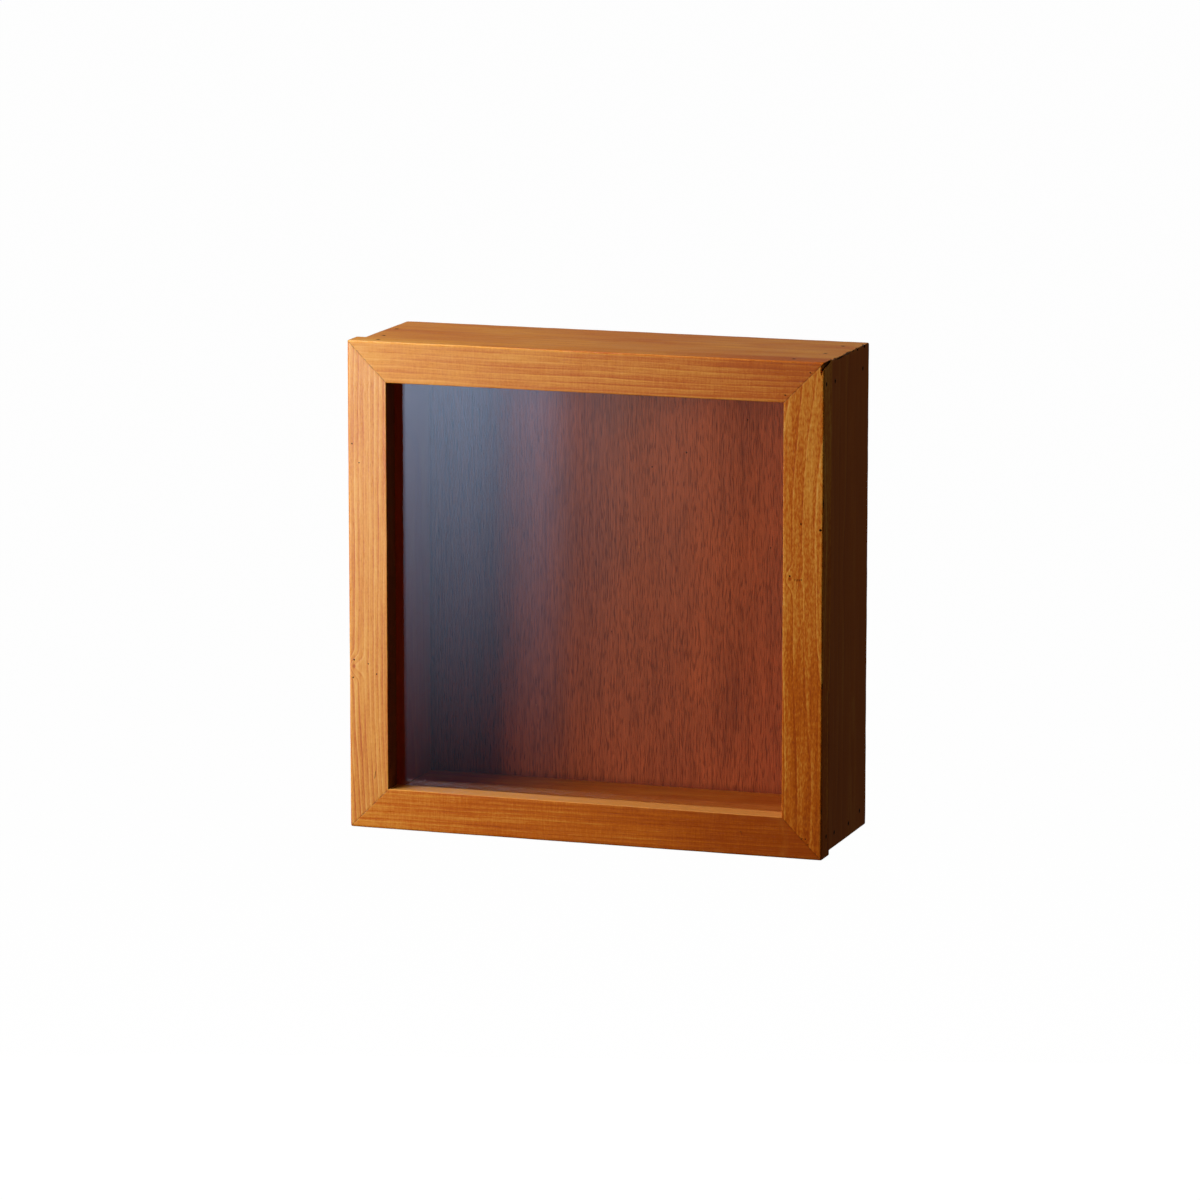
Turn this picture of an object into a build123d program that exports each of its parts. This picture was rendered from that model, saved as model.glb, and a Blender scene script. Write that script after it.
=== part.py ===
"""Wall mounted showcase: a shallow mitred wooden case with a plywood back, closed by a glazed
frame door on two brass butt hinges. Millimetres; the wall is the plane Y = 0, the door faces -Y
and +Z is up. The origin is the middle of the back, on the wall."""

from build123d import *
import os

# Overall
WIDTH = 300.0                # outside of the door frame, which is the widest and tallest piece
HEIGHT = 300.0
DEPTH = 100.0                # wall to the front face of the door

# Door frame and glass
FRAME_FACE = 25.0            # width of a frame member, seen from the front
FRAME_THICKNESS = 16.5
FRAME_EASING = 1.2           # rounding of the outer front arrises
FRAME_REAR_EASING = 0.6
SIGHT_EASING = 0.5           # rounding of the arris round the glass
GLASS_THICKNESS = 2.0
GLASS_LAP = 5.0              # the rebate is this much wider than the opening, each side
GLASS_PLAY = 0.5
BEAD_WIDTH = 5.5
BEAD_THICKNESS = 2.0
BEAD_LAP = 3.0               # how far a bead reaches over the rebate
BEAD_EASING = 0.6
BRAD_EDGE = 1.2              # from the rebate's edge to the brads of the beads

# Case and back
BOARD_THICKNESS = 15.5
CASE_SETBACK = 1.5           # the frame stands this much proud of the case all round
CASE_EASING = 0.8
DOOR_GAP = 1.0               # between the door frame and the front edges of the case
BACK_THICKNESS = 3.0         # lauan plywood, let into a rebate and flush with the case
BACK_LAP = 4.5
BACK_PLAY = 0.25

# Butt hinges: the pin stands outside the door's edge, in the middle of the door gap
HINGE_HEIGHT = 30.0
HINGE_PLACES = {"upper": 95.0, "lower": -95.0}
LEAF_THICKNESS = 0.95
LEAF_PLAY = 0.05             # each leaf stands this far off the middle of the gap
LEAF_WIDTH = 16.0            # pin axis to the free edge of the leaf
LEAF_CORNER = 1.0
LEAF_NOTCH = 0.25            # clearance of a leaf round the other leaf's knuckles
KNUCKLE_RADIUS = 2.0
PIN_RADIUS = 1.0
PIN_HEAD_RADIUS = 1.7
PIN_HEAD_HEIGHT = 0.8
PIN_HEAD_ROUNDING = 0.5
PIN_RUNNING_CLEARANCE = 0.05
KNUCKLES = 5
KNUCKLE_GAP = 0.2
HINGE_OFFSET = 2.2           # pin axis to the side of the door frame
HINGE_SCREW_SPACING = 19.0
HINGE_SCREW_EDGE = 5.5       # from the free edge of the leaf

# Magnetic catch: nickel plated rings in the case, steel discs in the door
CATCH_HEIGHTS = (90.0, -90.0)
CATCH_RADIUS = 4.5
MAGNET_THICKNESS = 3.0
DISC_THICKNESS = 1.5
CATCH_AIR_GAP = 0.2

# Keyhole hangers, let in flush at the back of the two side boards
HANGER_WIDTH = 10.0
HANGER_LENGTH = 38.0
HANGER_THICKNESS = 1.2
HANGER_CORNER = 2.0
HANGER_HEIGHT = 85.0         # middle of the plate
KEYHOLE_RADIUS = 3.5
KEYHOLE_DROP = 3.5           # the round entry stands this much below the middle of the plate
KEYSLOT_RADIUS = 1.8
KEYSLOT_RISE = 8.0           # entry centre to slot end centre
HANGER_SCREW_SPACING = 30.0
POCKET_RADIUS = 4.0
POCKET_DEPTH = 5.0

# Screws and nails
SCREW_HEAD_RADIUS = 2.0
SCREW_SHANK_RADIUS = 1.0
SCREW_HEAD_DEPTH = 0.9
SCREW_RIM = 0.2              # straight edge of the countersunk head
SCREW_LENGTH = 10.0
CROSS_WIDTH = 0.45
CROSS_LENGTH = 2.2
CROSS_DEPTH = 0.5
NAIL_HEAD_RADIUS = 0.8
NAIL_HEAD_HEIGHT = 0.9
NAIL_SHANK_RADIUS = 0.55
NAIL_LENGTH = 22.0
TIP_LENGTH = 2.0             # tapered point of every nail and screw
TIP_RADIUS = 0.1
NAIL_PUNCH = 0.6             # the heads are punched this far below the surface
BRAD_HEAD_RADIUS = 0.8
BRAD_SHANK_RADIUS = 0.4
BRAD_HEAD_HEIGHT = 0.4
BEAD_BRAD_LENGTH = 7.0
BACK_BRAD_LENGTH = 12.0
BEAD_BRAD_PLACES = (-104.0, -2.0, 101.0)           # along each side, from its middle
BACK_BRAD_PLACES = (-110.0, -38.0, 36.0, 112.0)

# Planes and half sizes that follow
HALF_W, HALF_H = WIDTH / 2, HEIGHT / 2
FRONT_Y = -DEPTH
FRAME_BACK_Y = FRONT_Y + FRAME_THICKNESS
GLASS_FRONT_Y = FRAME_BACK_Y - GLASS_THICKNESS
CASE_FRONT_Y = FRAME_BACK_Y + DOOR_GAP
HINGE_X = -HALF_W - HINGE_OFFSET
HINGE_Y = (FRAME_BACK_Y + CASE_FRONT_Y) / 2
CASE_HALF = HALF_W - CASE_SETBACK
INNER_HALF = CASE_HALF - BOARD_THICKNESS
OPENING_HALF = HALF_W - FRAME_FACE
REBATE_HALF = OPENING_HALF + GLASS_LAP
CATCH_X = (CASE_HALF + INNER_HALF) / 2
HANGER_X = CASE_HALF - (BOARD_THICKNESS - BACK_LAP) / 2

# Corner nails. Each is (side it is driven from, which end, distance from that end's outer
# corner, depth from the front face of the door). They are as uneven as hand nailing leaves them.
CASE_NAILS = [
    ("top", "left", 6.5, 65.0), ("top", "left", 9.0, 35.5),
    ("top", "right", 10.6, 80.0), ("top", "right", 11.9, 47.5),
    ("right", "top", 13.9, 86.4), ("right", "top", 13.4, 27.7),
    ("right", "bottom", 11.2, 86.2), ("right", "bottom", 8.3, 62.5), ("right", "bottom", 9.1, 31.9),
    ("left", "top", 12.2, 84.0), ("left", "top", 11.0, 29.0),
    ("left", "bottom", 9.5, 85.0), ("left", "bottom", 10.5, 57.0), ("left", "bottom", 8.8, 28.5),
    ("bottom", "left", 8.6, 70.0), ("bottom", "left", 7.4, 41.0),
    ("bottom", "right", 10.2, 76.0), ("bottom", "right", 9.4, 46.0),
]
FRAME_NAILS = [
    ("right", "top", 13.5, 4.6), ("right", "bottom", 12.9, 9.8),
    ("top", "left", 17.2, 7.8), ("top", "right", 21.6, 9.1),
    ("left", "top", 14.2, 4.4), ("left", "bottom", 12.4, 9.6),
    ("bottom", "left", 16.5, 5.6), ("bottom", "right", 18.8, 5.2),
]
INWARD = {"top": (0, 0, -1), "bottom": (0, 0, 1), "left": (1, 0, 0), "right": (-1, 0, 0)}
SIDES = ("top", "bottom", "left", "right")


def block(x, y, z):
    """A box from three (low, high) pairs."""
    size = [high - low for low, high in (x, y, z)]
    middle = [(high + low) / 2 for low, high in (x, y, z)]
    return Pos(*middle) * Box(*size)


def square_block(half, y):
    """A square slab centred on the Y axis."""
    return block((-half, half), y, (-half, half))


def along(point, direction):
    """The plane at a point whose Z axis runs in a direction."""
    return Plane(origin=point, z_dir=direction)


def rod(radius, low, high):
    """A cylinder on the Z axis from low to high."""
    return Pos(0, 0, (low + high) / 2) * Cylinder(radius, high - low)


def quarter(side, y):
    """The wedge that cuts one mitred side out of a square ring."""
    reach = WIDTH
    corners = {
        "top": [(0, 0), (-reach, reach), (reach, reach)],
        "bottom": [(0, 0), (reach, -reach), (-reach, -reach)],
        "left": [(0, 0), (-reach, -reach), (-reach, reach)],
        "right": [(0, 0), (reach, reach), (reach, -reach)],
    }[side]
    wedge = Plane.XZ * make_face(Polyline(*corners, close=True))
    return Pos(0, y[1] + 1, 0) * extrude(wedge, y[1] - y[0] + 2)


def mitred_sides(ring, y):
    """The four mitred members of a ring, by side."""
    return {side: ring & quarter(side, y) for side in SIDES}


def frame_ring():
    """The door frame as one ring, rebated at the back for the glass."""
    ring = square_block(HALF_W, (FRONT_Y, FRAME_BACK_Y))
    ring = fillet(ring.edges().filter_by(Axis.Y), FRAME_REAR_EASING)
    ring = fillet(ring.faces().sort_by(Axis.Y)[0].edges(), FRAME_EASING)
    ring = fillet(ring.faces().sort_by(Axis.Y)[-1].edges(), FRAME_REAR_EASING)
    ring -= square_block(OPENING_HALF, (FRONT_Y - 1, FRAME_BACK_Y + 1))
    sight = ring.faces().sort_by(Axis.Y)[0].inner_wires()[0]
    ring = fillet(sight.edges(), SIGHT_EASING)
    return ring - square_block(REBATE_HALF, (GLASS_FRONT_Y, FRAME_BACK_Y + 1))


def case_ring():
    """The case as one ring, rebated at the back for the plywood."""
    ring = square_block(CASE_HALF, (CASE_FRONT_Y, 0))
    ring = fillet(ring.edges(), CASE_EASING)
    ring -= square_block(INNER_HALF, (CASE_FRONT_Y - 1, 1))
    return ring - square_block(INNER_HALF + BACK_LAP, (-BACK_THICKNESS, 1))


def bead_ring():
    """The beads that hold the glass, as one ring on the back of the door frame."""
    inner = REBATE_HALF - BEAD_LAP
    y = (FRAME_BACK_Y, FRAME_BACK_Y + BEAD_THICKNESS)
    ring = square_block(inner + BEAD_WIDTH, y) - square_block(inner, (y[0] - 1, y[1] + 1))
    rear = ring.faces().sort_by(Axis.Y)[-1]
    return fillet(rear.edges(), BEAD_EASING), y


def tip(radius, end_z):
    """The tapered point of a nail or screw."""
    return Pos(0, 0, end_z - TIP_LENGTH / 2) * Cone(radius, TIP_RADIUS, TIP_LENGTH)


def nail(side, end, edge, depth, half):
    """A corner nail and the hole it fills, driven into one side of a square of a half size."""
    sign = -1 if end in ("left", "bottom") else 1
    across = sign * (half - edge)
    out = -1 if side in ("left", "bottom") else 1
    y = FRONT_Y + depth
    face = (across, y, out * half) if side in ("top", "bottom") else (out * half, y, across)
    plane = along(face, INWARD[side])
    end_z = NAIL_PUNCH + NAIL_LENGTH
    head = rod(NAIL_HEAD_RADIUS, NAIL_PUNCH, NAIL_PUNCH + NAIL_HEAD_HEIGHT)
    shank = rod(NAIL_SHANK_RADIUS, NAIL_PUNCH, end_z - TIP_LENGTH)
    solid = head + shank + tip(NAIL_SHANK_RADIUS, end_z)
    hole = solid + rod(NAIL_HEAD_RADIUS, -1, NAIL_PUNCH + 0.1)
    return plane * solid, plane * hole


def wood_screw(point, direction):
    """A countersunk cross-head screw, flush at a point, and the plain shape of its hole."""
    cone = Cone(SCREW_HEAD_RADIUS, SCREW_SHANK_RADIUS, SCREW_HEAD_DEPTH)
    taper = Pos(0, 0, SCREW_RIM + SCREW_HEAD_DEPTH / 2) * cone
    rim = rod(SCREW_HEAD_RADIUS, 0, SCREW_RIM)
    shank = rod(SCREW_SHANK_RADIUS, SCREW_RIM, SCREW_LENGTH - TIP_LENGTH)
    body = rim + taper + shank + tip(SCREW_SHANK_RADIUS, SCREW_LENGTH)
    arm = Pos(0, 0, CROSS_DEPTH / 2) * Box(CROSS_LENGTH, CROSS_WIDTH, CROSS_DEPTH)
    plane = along(point, direction)
    hole = body + rod(SCREW_HEAD_RADIUS, -1, 0.1)
    return plane * (body - arm - Rot(0, 0, 90) * arm), plane * hole


def brad(point, direction, length):
    """A small round-headed brad, flush at a point; its hole has the same shape."""
    head = rod(BRAD_HEAD_RADIUS, 0, BRAD_HEAD_HEIGHT)
    shank = rod(BRAD_SHANK_RADIUS, 0, length)
    return along(point, direction) * (head + shank)


def ring_points(half, places):
    """Points round a square of a half size, at the same places along each of its sides."""
    points = []
    for place in places:
        points += [(place, half), (place, -half), (half, place), (-half, place)]
    return points


def hinge_leaf(height, facing):
    """One leaf with its share of the knuckles. facing is +1 for the case and -1 for the door."""
    pitch = HINGE_HEIGHT / KNUCKLES
    low = height - HINGE_HEIGHT / 2
    own = range(0, KNUCKLES, 2) if facing > 0 else range(1, KNUCKLES, 2)
    plate_y = sorted((HINGE_Y + facing * LEAF_PLAY, HINGE_Y + facing * (LEAF_PLAY + LEAF_THICKNESS)))
    clear = HINGE_X + KNUCKLE_RADIUS + LEAF_NOTCH
    free_edge = HINGE_X + LEAF_WIDTH
    leaf = block((clear, free_edge), plate_y, (low, low + HINGE_HEIGHT))
    leaf = fillet(leaf.edges().filter_by(Axis.Y).sort_by(Axis.X)[-2:], LEAF_CORNER)
    axis = Pos(HINGE_X, HINGE_Y, 0)
    for index in own:
        z = (low + index * pitch + KNUCKLE_GAP / 2, low + (index + 1) * pitch - KNUCKLE_GAP / 2)
        leaf += block((HINGE_X, clear), plate_y, z)
        leaf += axis * rod(KNUCKLE_RADIUS, *z)
    clearance = 0.0 if facing > 0 else PIN_RUNNING_CLEARANCE
    return leaf - axis * rod(PIN_RADIUS + clearance, low - 1, low + HINGE_HEIGHT + 1)


def hinge_pin(height):
    """The loose pin of a hinge, with a low button head at each end."""
    low, high = height - HINGE_HEIGHT / 2, height + HINGE_HEIGHT / 2
    pin = rod(PIN_RADIUS, low, high)
    pin += rod(PIN_HEAD_RADIUS, low - PIN_HEAD_HEIGHT, low)
    pin += rod(PIN_HEAD_RADIUS, high, high + PIN_HEAD_HEIGHT)
    ends = pin.edges().filter_by(GeomType.CIRCLE).sort_by(Axis.Z)
    pin = fillet([ends[0], ends[-1]], PIN_HEAD_ROUNDING)
    return Pos(HINGE_X, HINGE_Y, 0) * pin


def leaf_mortise(height, facing):
    """The shallow housing for a leaf in the wood."""
    deep = HINGE_Y + facing * (LEAF_PLAY + LEAF_THICKNESS)
    y = sorted((HINGE_Y, deep))
    z = (height - HINGE_HEIGHT / 2, height + HINGE_HEIGHT / 2)
    housing = block((-HALF_W - 1, HINGE_X + LEAF_WIDTH), y, z)
    return fillet(housing.edges().filter_by(Axis.Y).sort_by(Axis.X)[-2:], LEAF_CORNER)


def hinge_screws(height, facing):
    """The screws of one leaf and their holes."""
    x = HINGE_X + LEAF_WIDTH - HINGE_SCREW_EDGE
    y = HINGE_Y + facing * LEAF_PLAY
    offsets = (-HINGE_SCREW_SPACING / 2, HINGE_SCREW_SPACING / 2)
    return [wood_screw((x, y, height + offset), (0, facing, 0)) for offset in offsets]


def catch_disc(height, facing, thickness):
    """A countersunk ring or disc of the catch, its screw and the housing it lies in."""
    face_y = HINGE_Y + facing * CATCH_AIR_GAP / 2
    plane = along((CATCH_X, face_y, height), (0, facing, 0))
    disc = plane * rod(CATCH_RADIUS, 0, thickness)
    screw, hole = wood_screw((CATCH_X, face_y, height), (0, facing, 0))
    return disc - hole, screw, hole + disc


def keyhole(centre_z, thickness):
    """The opening of a keyhole hanger: a round entry with a slot rising from it."""
    entry = rod(KEYHOLE_RADIUS, 0, thickness)
    slot_end = Pos(0, KEYSLOT_RISE, 0) * rod(KEYSLOT_RADIUS, 0, thickness)
    slot = block((-KEYSLOT_RADIUS, KEYSLOT_RADIUS), (0, KEYSLOT_RISE), (0, thickness))
    plane = Plane(origin=(0, 0, centre_z - KEYHOLE_DROP), x_dir=(-1, 0, 0), z_dir=(0, 1, 0))
    return Pos(0, -thickness, 0) * (plane * (entry + slot_end + slot))


def hanger_plate(x):
    """A keyhole hanger plate, its screws and everything cut from the board for it."""
    z = (HANGER_HEIGHT - HANGER_LENGTH / 2, HANGER_HEIGHT + HANGER_LENGTH / 2)
    half = HANGER_WIDTH / 2
    plate = block((-half, half), (-HANGER_THICKNESS, 0), z)
    plate = fillet(plate.edges().filter_by(Axis.Y), HANGER_CORNER)
    recess = plate
    plate -= keyhole(HANGER_HEIGHT, HANGER_THICKNESS + 1)
    pocket = Pos(0, -HANGER_THICKNESS, 0) * pocket_shape()
    screws = []
    for offset in (-HANGER_SCREW_SPACING / 2, HANGER_SCREW_SPACING / 2):
        screw, hole = wood_screw((0, 0, HANGER_HEIGHT + offset), (0, -1, 0))
        plate -= hole
        recess += hole
        screws.append(Pos(x, 0, 0) * screw)
    return Pos(x, 0, 0) * plate, screws, Pos(x, 0, 0) * (recess + pocket)


def pocket_shape():
    """The milled space behind a keyhole where a wall screw's head travels."""
    low = HANGER_HEIGHT - KEYHOLE_DROP
    tops = [Pos(0, 0, low), Pos(0, 0, low + KEYSLOT_RISE)]
    ends = [along(place.position, (0, -1, 0)) * rod(POCKET_RADIUS, 0, POCKET_DEPTH) for place in tops]
    middle = block((-POCKET_RADIUS, POCKET_RADIUS), (-POCKET_DEPTH, 0), (low, low + KEYSLOT_RISE))
    return ends[0] + ends[1] + middle


def build():
    """Every node of the showcase, by name."""
    nodes = {}
    case = mitred_sides(case_ring(), (CASE_FRONT_Y, 0))
    frame = mitred_sides(frame_ring(), (FRONT_Y, FRAME_BACK_Y))
    beads, bead_y = bead_ring()
    beads = mitred_sides(beads, bead_y)

    case_nails = [nail(*row, CASE_HALF) for row in CASE_NAILS]
    frame_nails = [nail(*row, HALF_W) for row in FRAME_NAILS]
    for _, hole in case_nails:
        case = {side: board - hole for side, board in case.items()}
    for _, hole in frame_nails:
        frame = {side: member - hole for side, member in frame.items()}

    back_half = INNER_HALF + BACK_LAP - BACK_PLAY
    back = square_block(back_half, (-BACK_THICKNESS, 0))
    back_places = ring_points(INNER_HALF + BACK_LAP / 2, BACK_BRAD_PLACES)
    back_brads = [brad((x, 0, z), (0, -1, 0), BACK_BRAD_LENGTH) for x, z in back_places]
    for one in back_brads:
        back -= one
        case = {side: board - one for side, board in case.items()}

    bead_places = ring_points(REBATE_HALF + BRAD_EDGE, BEAD_BRAD_PLACES)
    bead_brads = [brad((x, bead_y[1], z), (0, -1, 0), BEAD_BRAD_LENGTH) for x, z in bead_places]
    for one in bead_brads:
        beads = {side: bead - one for side, bead in beads.items()}
        frame = {side: member - one for side, member in frame.items()}

    screws = {"case": [], "door": []}
    for name, height in HINGE_PLACES.items():
        for body, facing in (("case", 1), ("door", -1)):
            leaf = hinge_leaf(height, facing)
            wood = case if body == "case" else frame
            wood["left"] -= leaf_mortise(height, facing)
            for screw, hole in hinge_screws(height, facing):
                leaf -= hole
                wood["left"] -= hole
                screws[body].append(screw)
            nodes[f"{name}_hinge_{body}_leaf"] = leaf
        nodes[f"{name}_hinge_pin"] = hinge_pin(height)

    catches = {"magnets": [], "magnet_screws": [], "discs": [], "disc_screws": []}
    for height in CATCH_HEIGHTS:
        magnet, screw, housing = catch_disc(height, 1, MAGNET_THICKNESS)
        case["right"] -= housing
        catches["magnets"].append(magnet)
        catches["magnet_screws"].append(screw)
        disc, screw, housing = catch_disc(height, -1, DISC_THICKNESS)
        frame["right"] -= housing
        catches["discs"].append(disc)
        catches["disc_screws"].append(screw)

    hanger_screws = []
    for side, sign in (("left", -1), ("right", 1)):
        plate, plate_screws, housing = hanger_plate(sign * HANGER_X)
        case[side] -= housing
        nodes[f"keyhole_hanger_{side}"] = plate
        hanger_screws += plate_screws

    for side in SIDES:
        nodes[f"case_{side}_board"] = case[side]
        member = "rail" if side in ("top", "bottom") else "stile"
        nodes[f"door_{side}_{member}"] = frame[side]
        nodes[f"glass_bead_{side}"] = beads[side]
    nodes["back_panel"] = back
    nodes["glass_pane"] = square_block(REBATE_HALF - GLASS_PLAY, (GLASS_FRONT_Y, FRAME_BACK_Y))
    groups = {
        "case_corner_nails": [solid for solid, _ in case_nails],
        "door_corner_nails": [solid for solid, _ in frame_nails],
        "back_panel_brads": back_brads,
        "glass_bead_brads": bead_brads,
        "hinge_case_screws": screws["case"],
        "hinge_door_screws": screws["door"],
        "catch_magnets": catches["magnets"],
        "catch_magnet_screws": catches["magnet_screws"],
        "catch_strike_discs": catches["discs"],
        "catch_strike_screws": catches["disc_screws"],
        "hanger_screws": hanger_screws,
    }
    for name, solids in groups.items():
        nodes[name] = Compound(children=solids)
    return nodes


os.makedirs("parts", exist_ok=True)
for node_name, shape in build().items():
    export_step(shape, f"parts/{node_name}.step")
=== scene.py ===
"""Wall mounted showcase: a shallow wooden case with a glazed, hinged door, on its packed frame."""

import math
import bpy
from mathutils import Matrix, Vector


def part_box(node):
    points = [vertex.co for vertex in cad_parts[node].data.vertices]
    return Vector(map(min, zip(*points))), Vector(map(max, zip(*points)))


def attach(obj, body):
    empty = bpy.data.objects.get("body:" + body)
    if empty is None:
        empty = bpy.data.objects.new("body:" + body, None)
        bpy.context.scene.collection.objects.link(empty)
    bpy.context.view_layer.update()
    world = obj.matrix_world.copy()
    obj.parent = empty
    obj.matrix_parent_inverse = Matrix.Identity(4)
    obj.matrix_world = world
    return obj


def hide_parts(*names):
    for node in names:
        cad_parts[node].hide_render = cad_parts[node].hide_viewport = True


bl_info = {
    "name": "Wall mounted showcase",
    "version": (1, 0, 0),
    "blender": (4, 5, 0),
    "location": "3D View > Sidebar > Showcase",
    "description": "Builds a small glazed display case with a hinged door round its packed frame",
    "category": "Add Mesh",
}

import bmesh
import bpy
from bpy.props import FloatProperty, FloatVectorProperty, IntProperty, PointerProperty
from mathutils import Matrix, Vector, noise

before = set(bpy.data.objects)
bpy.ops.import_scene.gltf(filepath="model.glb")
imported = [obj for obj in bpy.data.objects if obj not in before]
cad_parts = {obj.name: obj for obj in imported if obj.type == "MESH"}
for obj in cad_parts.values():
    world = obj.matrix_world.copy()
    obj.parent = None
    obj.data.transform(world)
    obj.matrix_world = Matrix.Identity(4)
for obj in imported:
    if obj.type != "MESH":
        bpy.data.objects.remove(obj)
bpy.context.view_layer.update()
MM = 0.001

# Planes of the timbers, from the frame
FRONT_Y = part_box("door_top_rail")[0].y
DOOR_BACK_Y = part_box("door_top_rail")[1].y
DOOR_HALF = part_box("door_top_rail")[1].z
SIGHT_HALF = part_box("door_top_rail")[0].z
CASE_FRONT_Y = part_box("case_top_board")[0].y
CASE_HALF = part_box("case_top_board")[1].z
INNER_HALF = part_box("case_top_board")[0].z
PANEL_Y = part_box("back_panel")[0].y
SIDES = {"top": ("z", 1), "bottom": ("z", -1), "left": ("x", -1), "right": ("x", 1)}


# ---------------------------------------------------------------- settings


class StainSettings(bpy.types.PropertyGroup):
    """Colours and gloss of the stained softwood and the plywood"""

    # Also painted light on the bottom rail's sight face, where the light from above falls on it.
    palest: FloatVectorProperty(
        name="Palest wood", description="Colour of the streaks that took the least stain",
        subtype="COLOR", size=3, min=0, max=1, default=(0.96, 0.50, 0.12))
    # Also used on the rubbed arrises, partly as a painted highlight.
    pale: FloatVectorProperty(
        name="Pale wood", description="Stained colour of the pale streaks",
        subtype="COLOR", size=3, min=0, max=1, default=(0.83, 0.335, 0.042))
    middle: FloatVectorProperty(
        name="Middle wood", description="Stained colour of most of the wood",
        subtype="COLOR", size=3, min=0, max=1, default=(0.62, 0.142, 0.006))
    deep: FloatVectorProperty(
        name="Deep wood", description="Stained colour of the darkest growth rings",
        subtype="COLOR", size=3, min=0, max=1, default=(0.42, 0.070, 0.002))
    # This colour is real stain and grime in the joints and round the nails. It is also painted shade on the
    # shaded sight faces, and grime with painted shade deep in pits, holes and the split.
    grime: FloatVectorProperty(
        name="Grime", description="Colour of stain and dirt in joints, pits and holes",
        subtype="COLOR", size=3, min=0, max=1, default=(0.055, 0.014, 0.003))
    roughness: FloatProperty(
        name="Roughness", description="Roughness of the waxed surface", min=0, max=1, default=0.33)
    panel_light: FloatVectorProperty(
        name="Plywood", description="Stained colour of the plywood back",
        subtype="COLOR", size=3, min=0, max=1, default=(0.47, 0.100, 0.030))
    panel_dark: FloatVectorProperty(
        name="Plywood pores", description="Colour of the pores of the plywood back",
        subtype="COLOR", size=3, min=0, max=1, default=(0.13, 0.020, 0.006))


class WearSettings(bpy.types.PropertyGroup):
    """Wear of the timbers"""

    arris: FloatProperty(
        name="Arris wear", description="Deepest wear of an outside arris",
        subtype="DISTANCE", unit="LENGTH", min=0, default=0.40 * MM)
    reach: FloatProperty(
        name="Wear reach", description="How far from an arris its wear goes",
        subtype="DISTANCE", unit="LENGTH", min=0.1 * MM, default=2.4 * MM)
    joint: FloatProperty(
        name="Joint groove", description="How far the arrises of a mitre are rounded down",
        subtype="DISTANCE", unit="LENGTH", min=0, default=0.10 * MM)
    step: FloatProperty(
        name="Mesh step", description="Distance between the cuts across a timber",
        subtype="DISTANCE", unit="LENGTH", min=1 * MM, default=4 * MM)


class NailSettings(bpy.types.PropertyGroup):
    """Sizes of the nails, brads and screws"""

    nail_head: FloatProperty(
        name="Nail head", description="Radius of a corner nail's head",
        subtype="DISTANCE", unit="LENGTH", min=0, default=0.8 * MM)
    nail_shank: FloatProperty(
        name="Nail shank", description="Radius of a corner nail's shank",
        subtype="DISTANCE", unit="LENGTH", min=0, default=0.55 * MM)
    brad_shank: FloatProperty(
        name="Brad shank", description="Radius of a brad's shank",
        subtype="DISTANCE", unit="LENGTH", min=0, default=0.4 * MM)
    screw_head: FloatProperty(
        name="Screw head", description="Radius of a screw's countersunk head",
        subtype="DISTANCE", unit="LENGTH", min=0, default=2.0 * MM)
    screw_shank: FloatProperty(
        name="Screw shank", description="Radius of a screw's shank",
        subtype="DISTANCE", unit="LENGTH", min=0, default=1.0 * MM)
    cross_width: FloatProperty(
        name="Cross width", description="Width of the cross recess of a screw",
        subtype="DISTANCE", unit="LENGTH", min=0, default=0.45 * MM)
    cross_length: FloatProperty(
        name="Cross length", description="Length of the cross recess of a screw",
        subtype="DISTANCE", unit="LENGTH", min=0, default=2.2 * MM)
    cross_depth: FloatProperty(
        name="Cross depth", description="Depth of the cross recess of a screw",
        subtype="DISTANCE", unit="LENGTH", min=0, default=0.5 * MM)
    sides: IntProperty(
        name="Sides", description="Number of sides of each shank and head", min=8, default=20)
    seed: IntProperty(
        name="Seed", description="Seed of the turn that each screw was left at", default=7)


class MetalSettings(bpy.types.PropertyGroup):
    """Finish of the hinges, hangers and catches"""

    brass: FloatVectorProperty(
        name="Brass", description="Colour of the satin brass",
        subtype="COLOR", size=3, min=0, max=1, default=(0.70, 0.47, 0.19))
    steel: FloatVectorProperty(
        name="Plated steel", description="Colour of the zinc plated steel",
        subtype="COLOR", size=3, min=0, max=1, default=(0.60, 0.60, 0.57))
    nickel: FloatVectorProperty(
        name="Nickel", description="Colour of the nickel plating",
        subtype="COLOR", size=3, min=0, max=1, default=(0.66, 0.62, 0.55))
    nail: FloatVectorProperty(
        name="Nail steel", description="Colour of the blackened nail steel",
        subtype="COLOR", size=3, min=0, max=1, default=(0.045, 0.036, 0.030))
    easing: FloatProperty(
        name="Easing", description="Rounding of the edges of the metal pieces",
        subtype="DISTANCE", unit="LENGTH", min=0, default=0.12 * MM)


class GlassSettings(bpy.types.PropertyGroup):
    """Finish of the pane"""

    head_on: FloatProperty(
        name="Mirrored head on", description="Share of the light that a face mirrors head on",
        min=0, max=1, default=0.043)
    roughness: FloatProperty(
        name="Smudge roughness", description="Roughness of the glass where it is smudged",
        min=0, max=1, default=0.05)
    easing: FloatProperty(
        name="Arrissed edge", description="Width of the ground edge of the pane",
        subtype="DISTANCE", unit="LENGTH", min=0, default=0.3 * MM)


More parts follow.
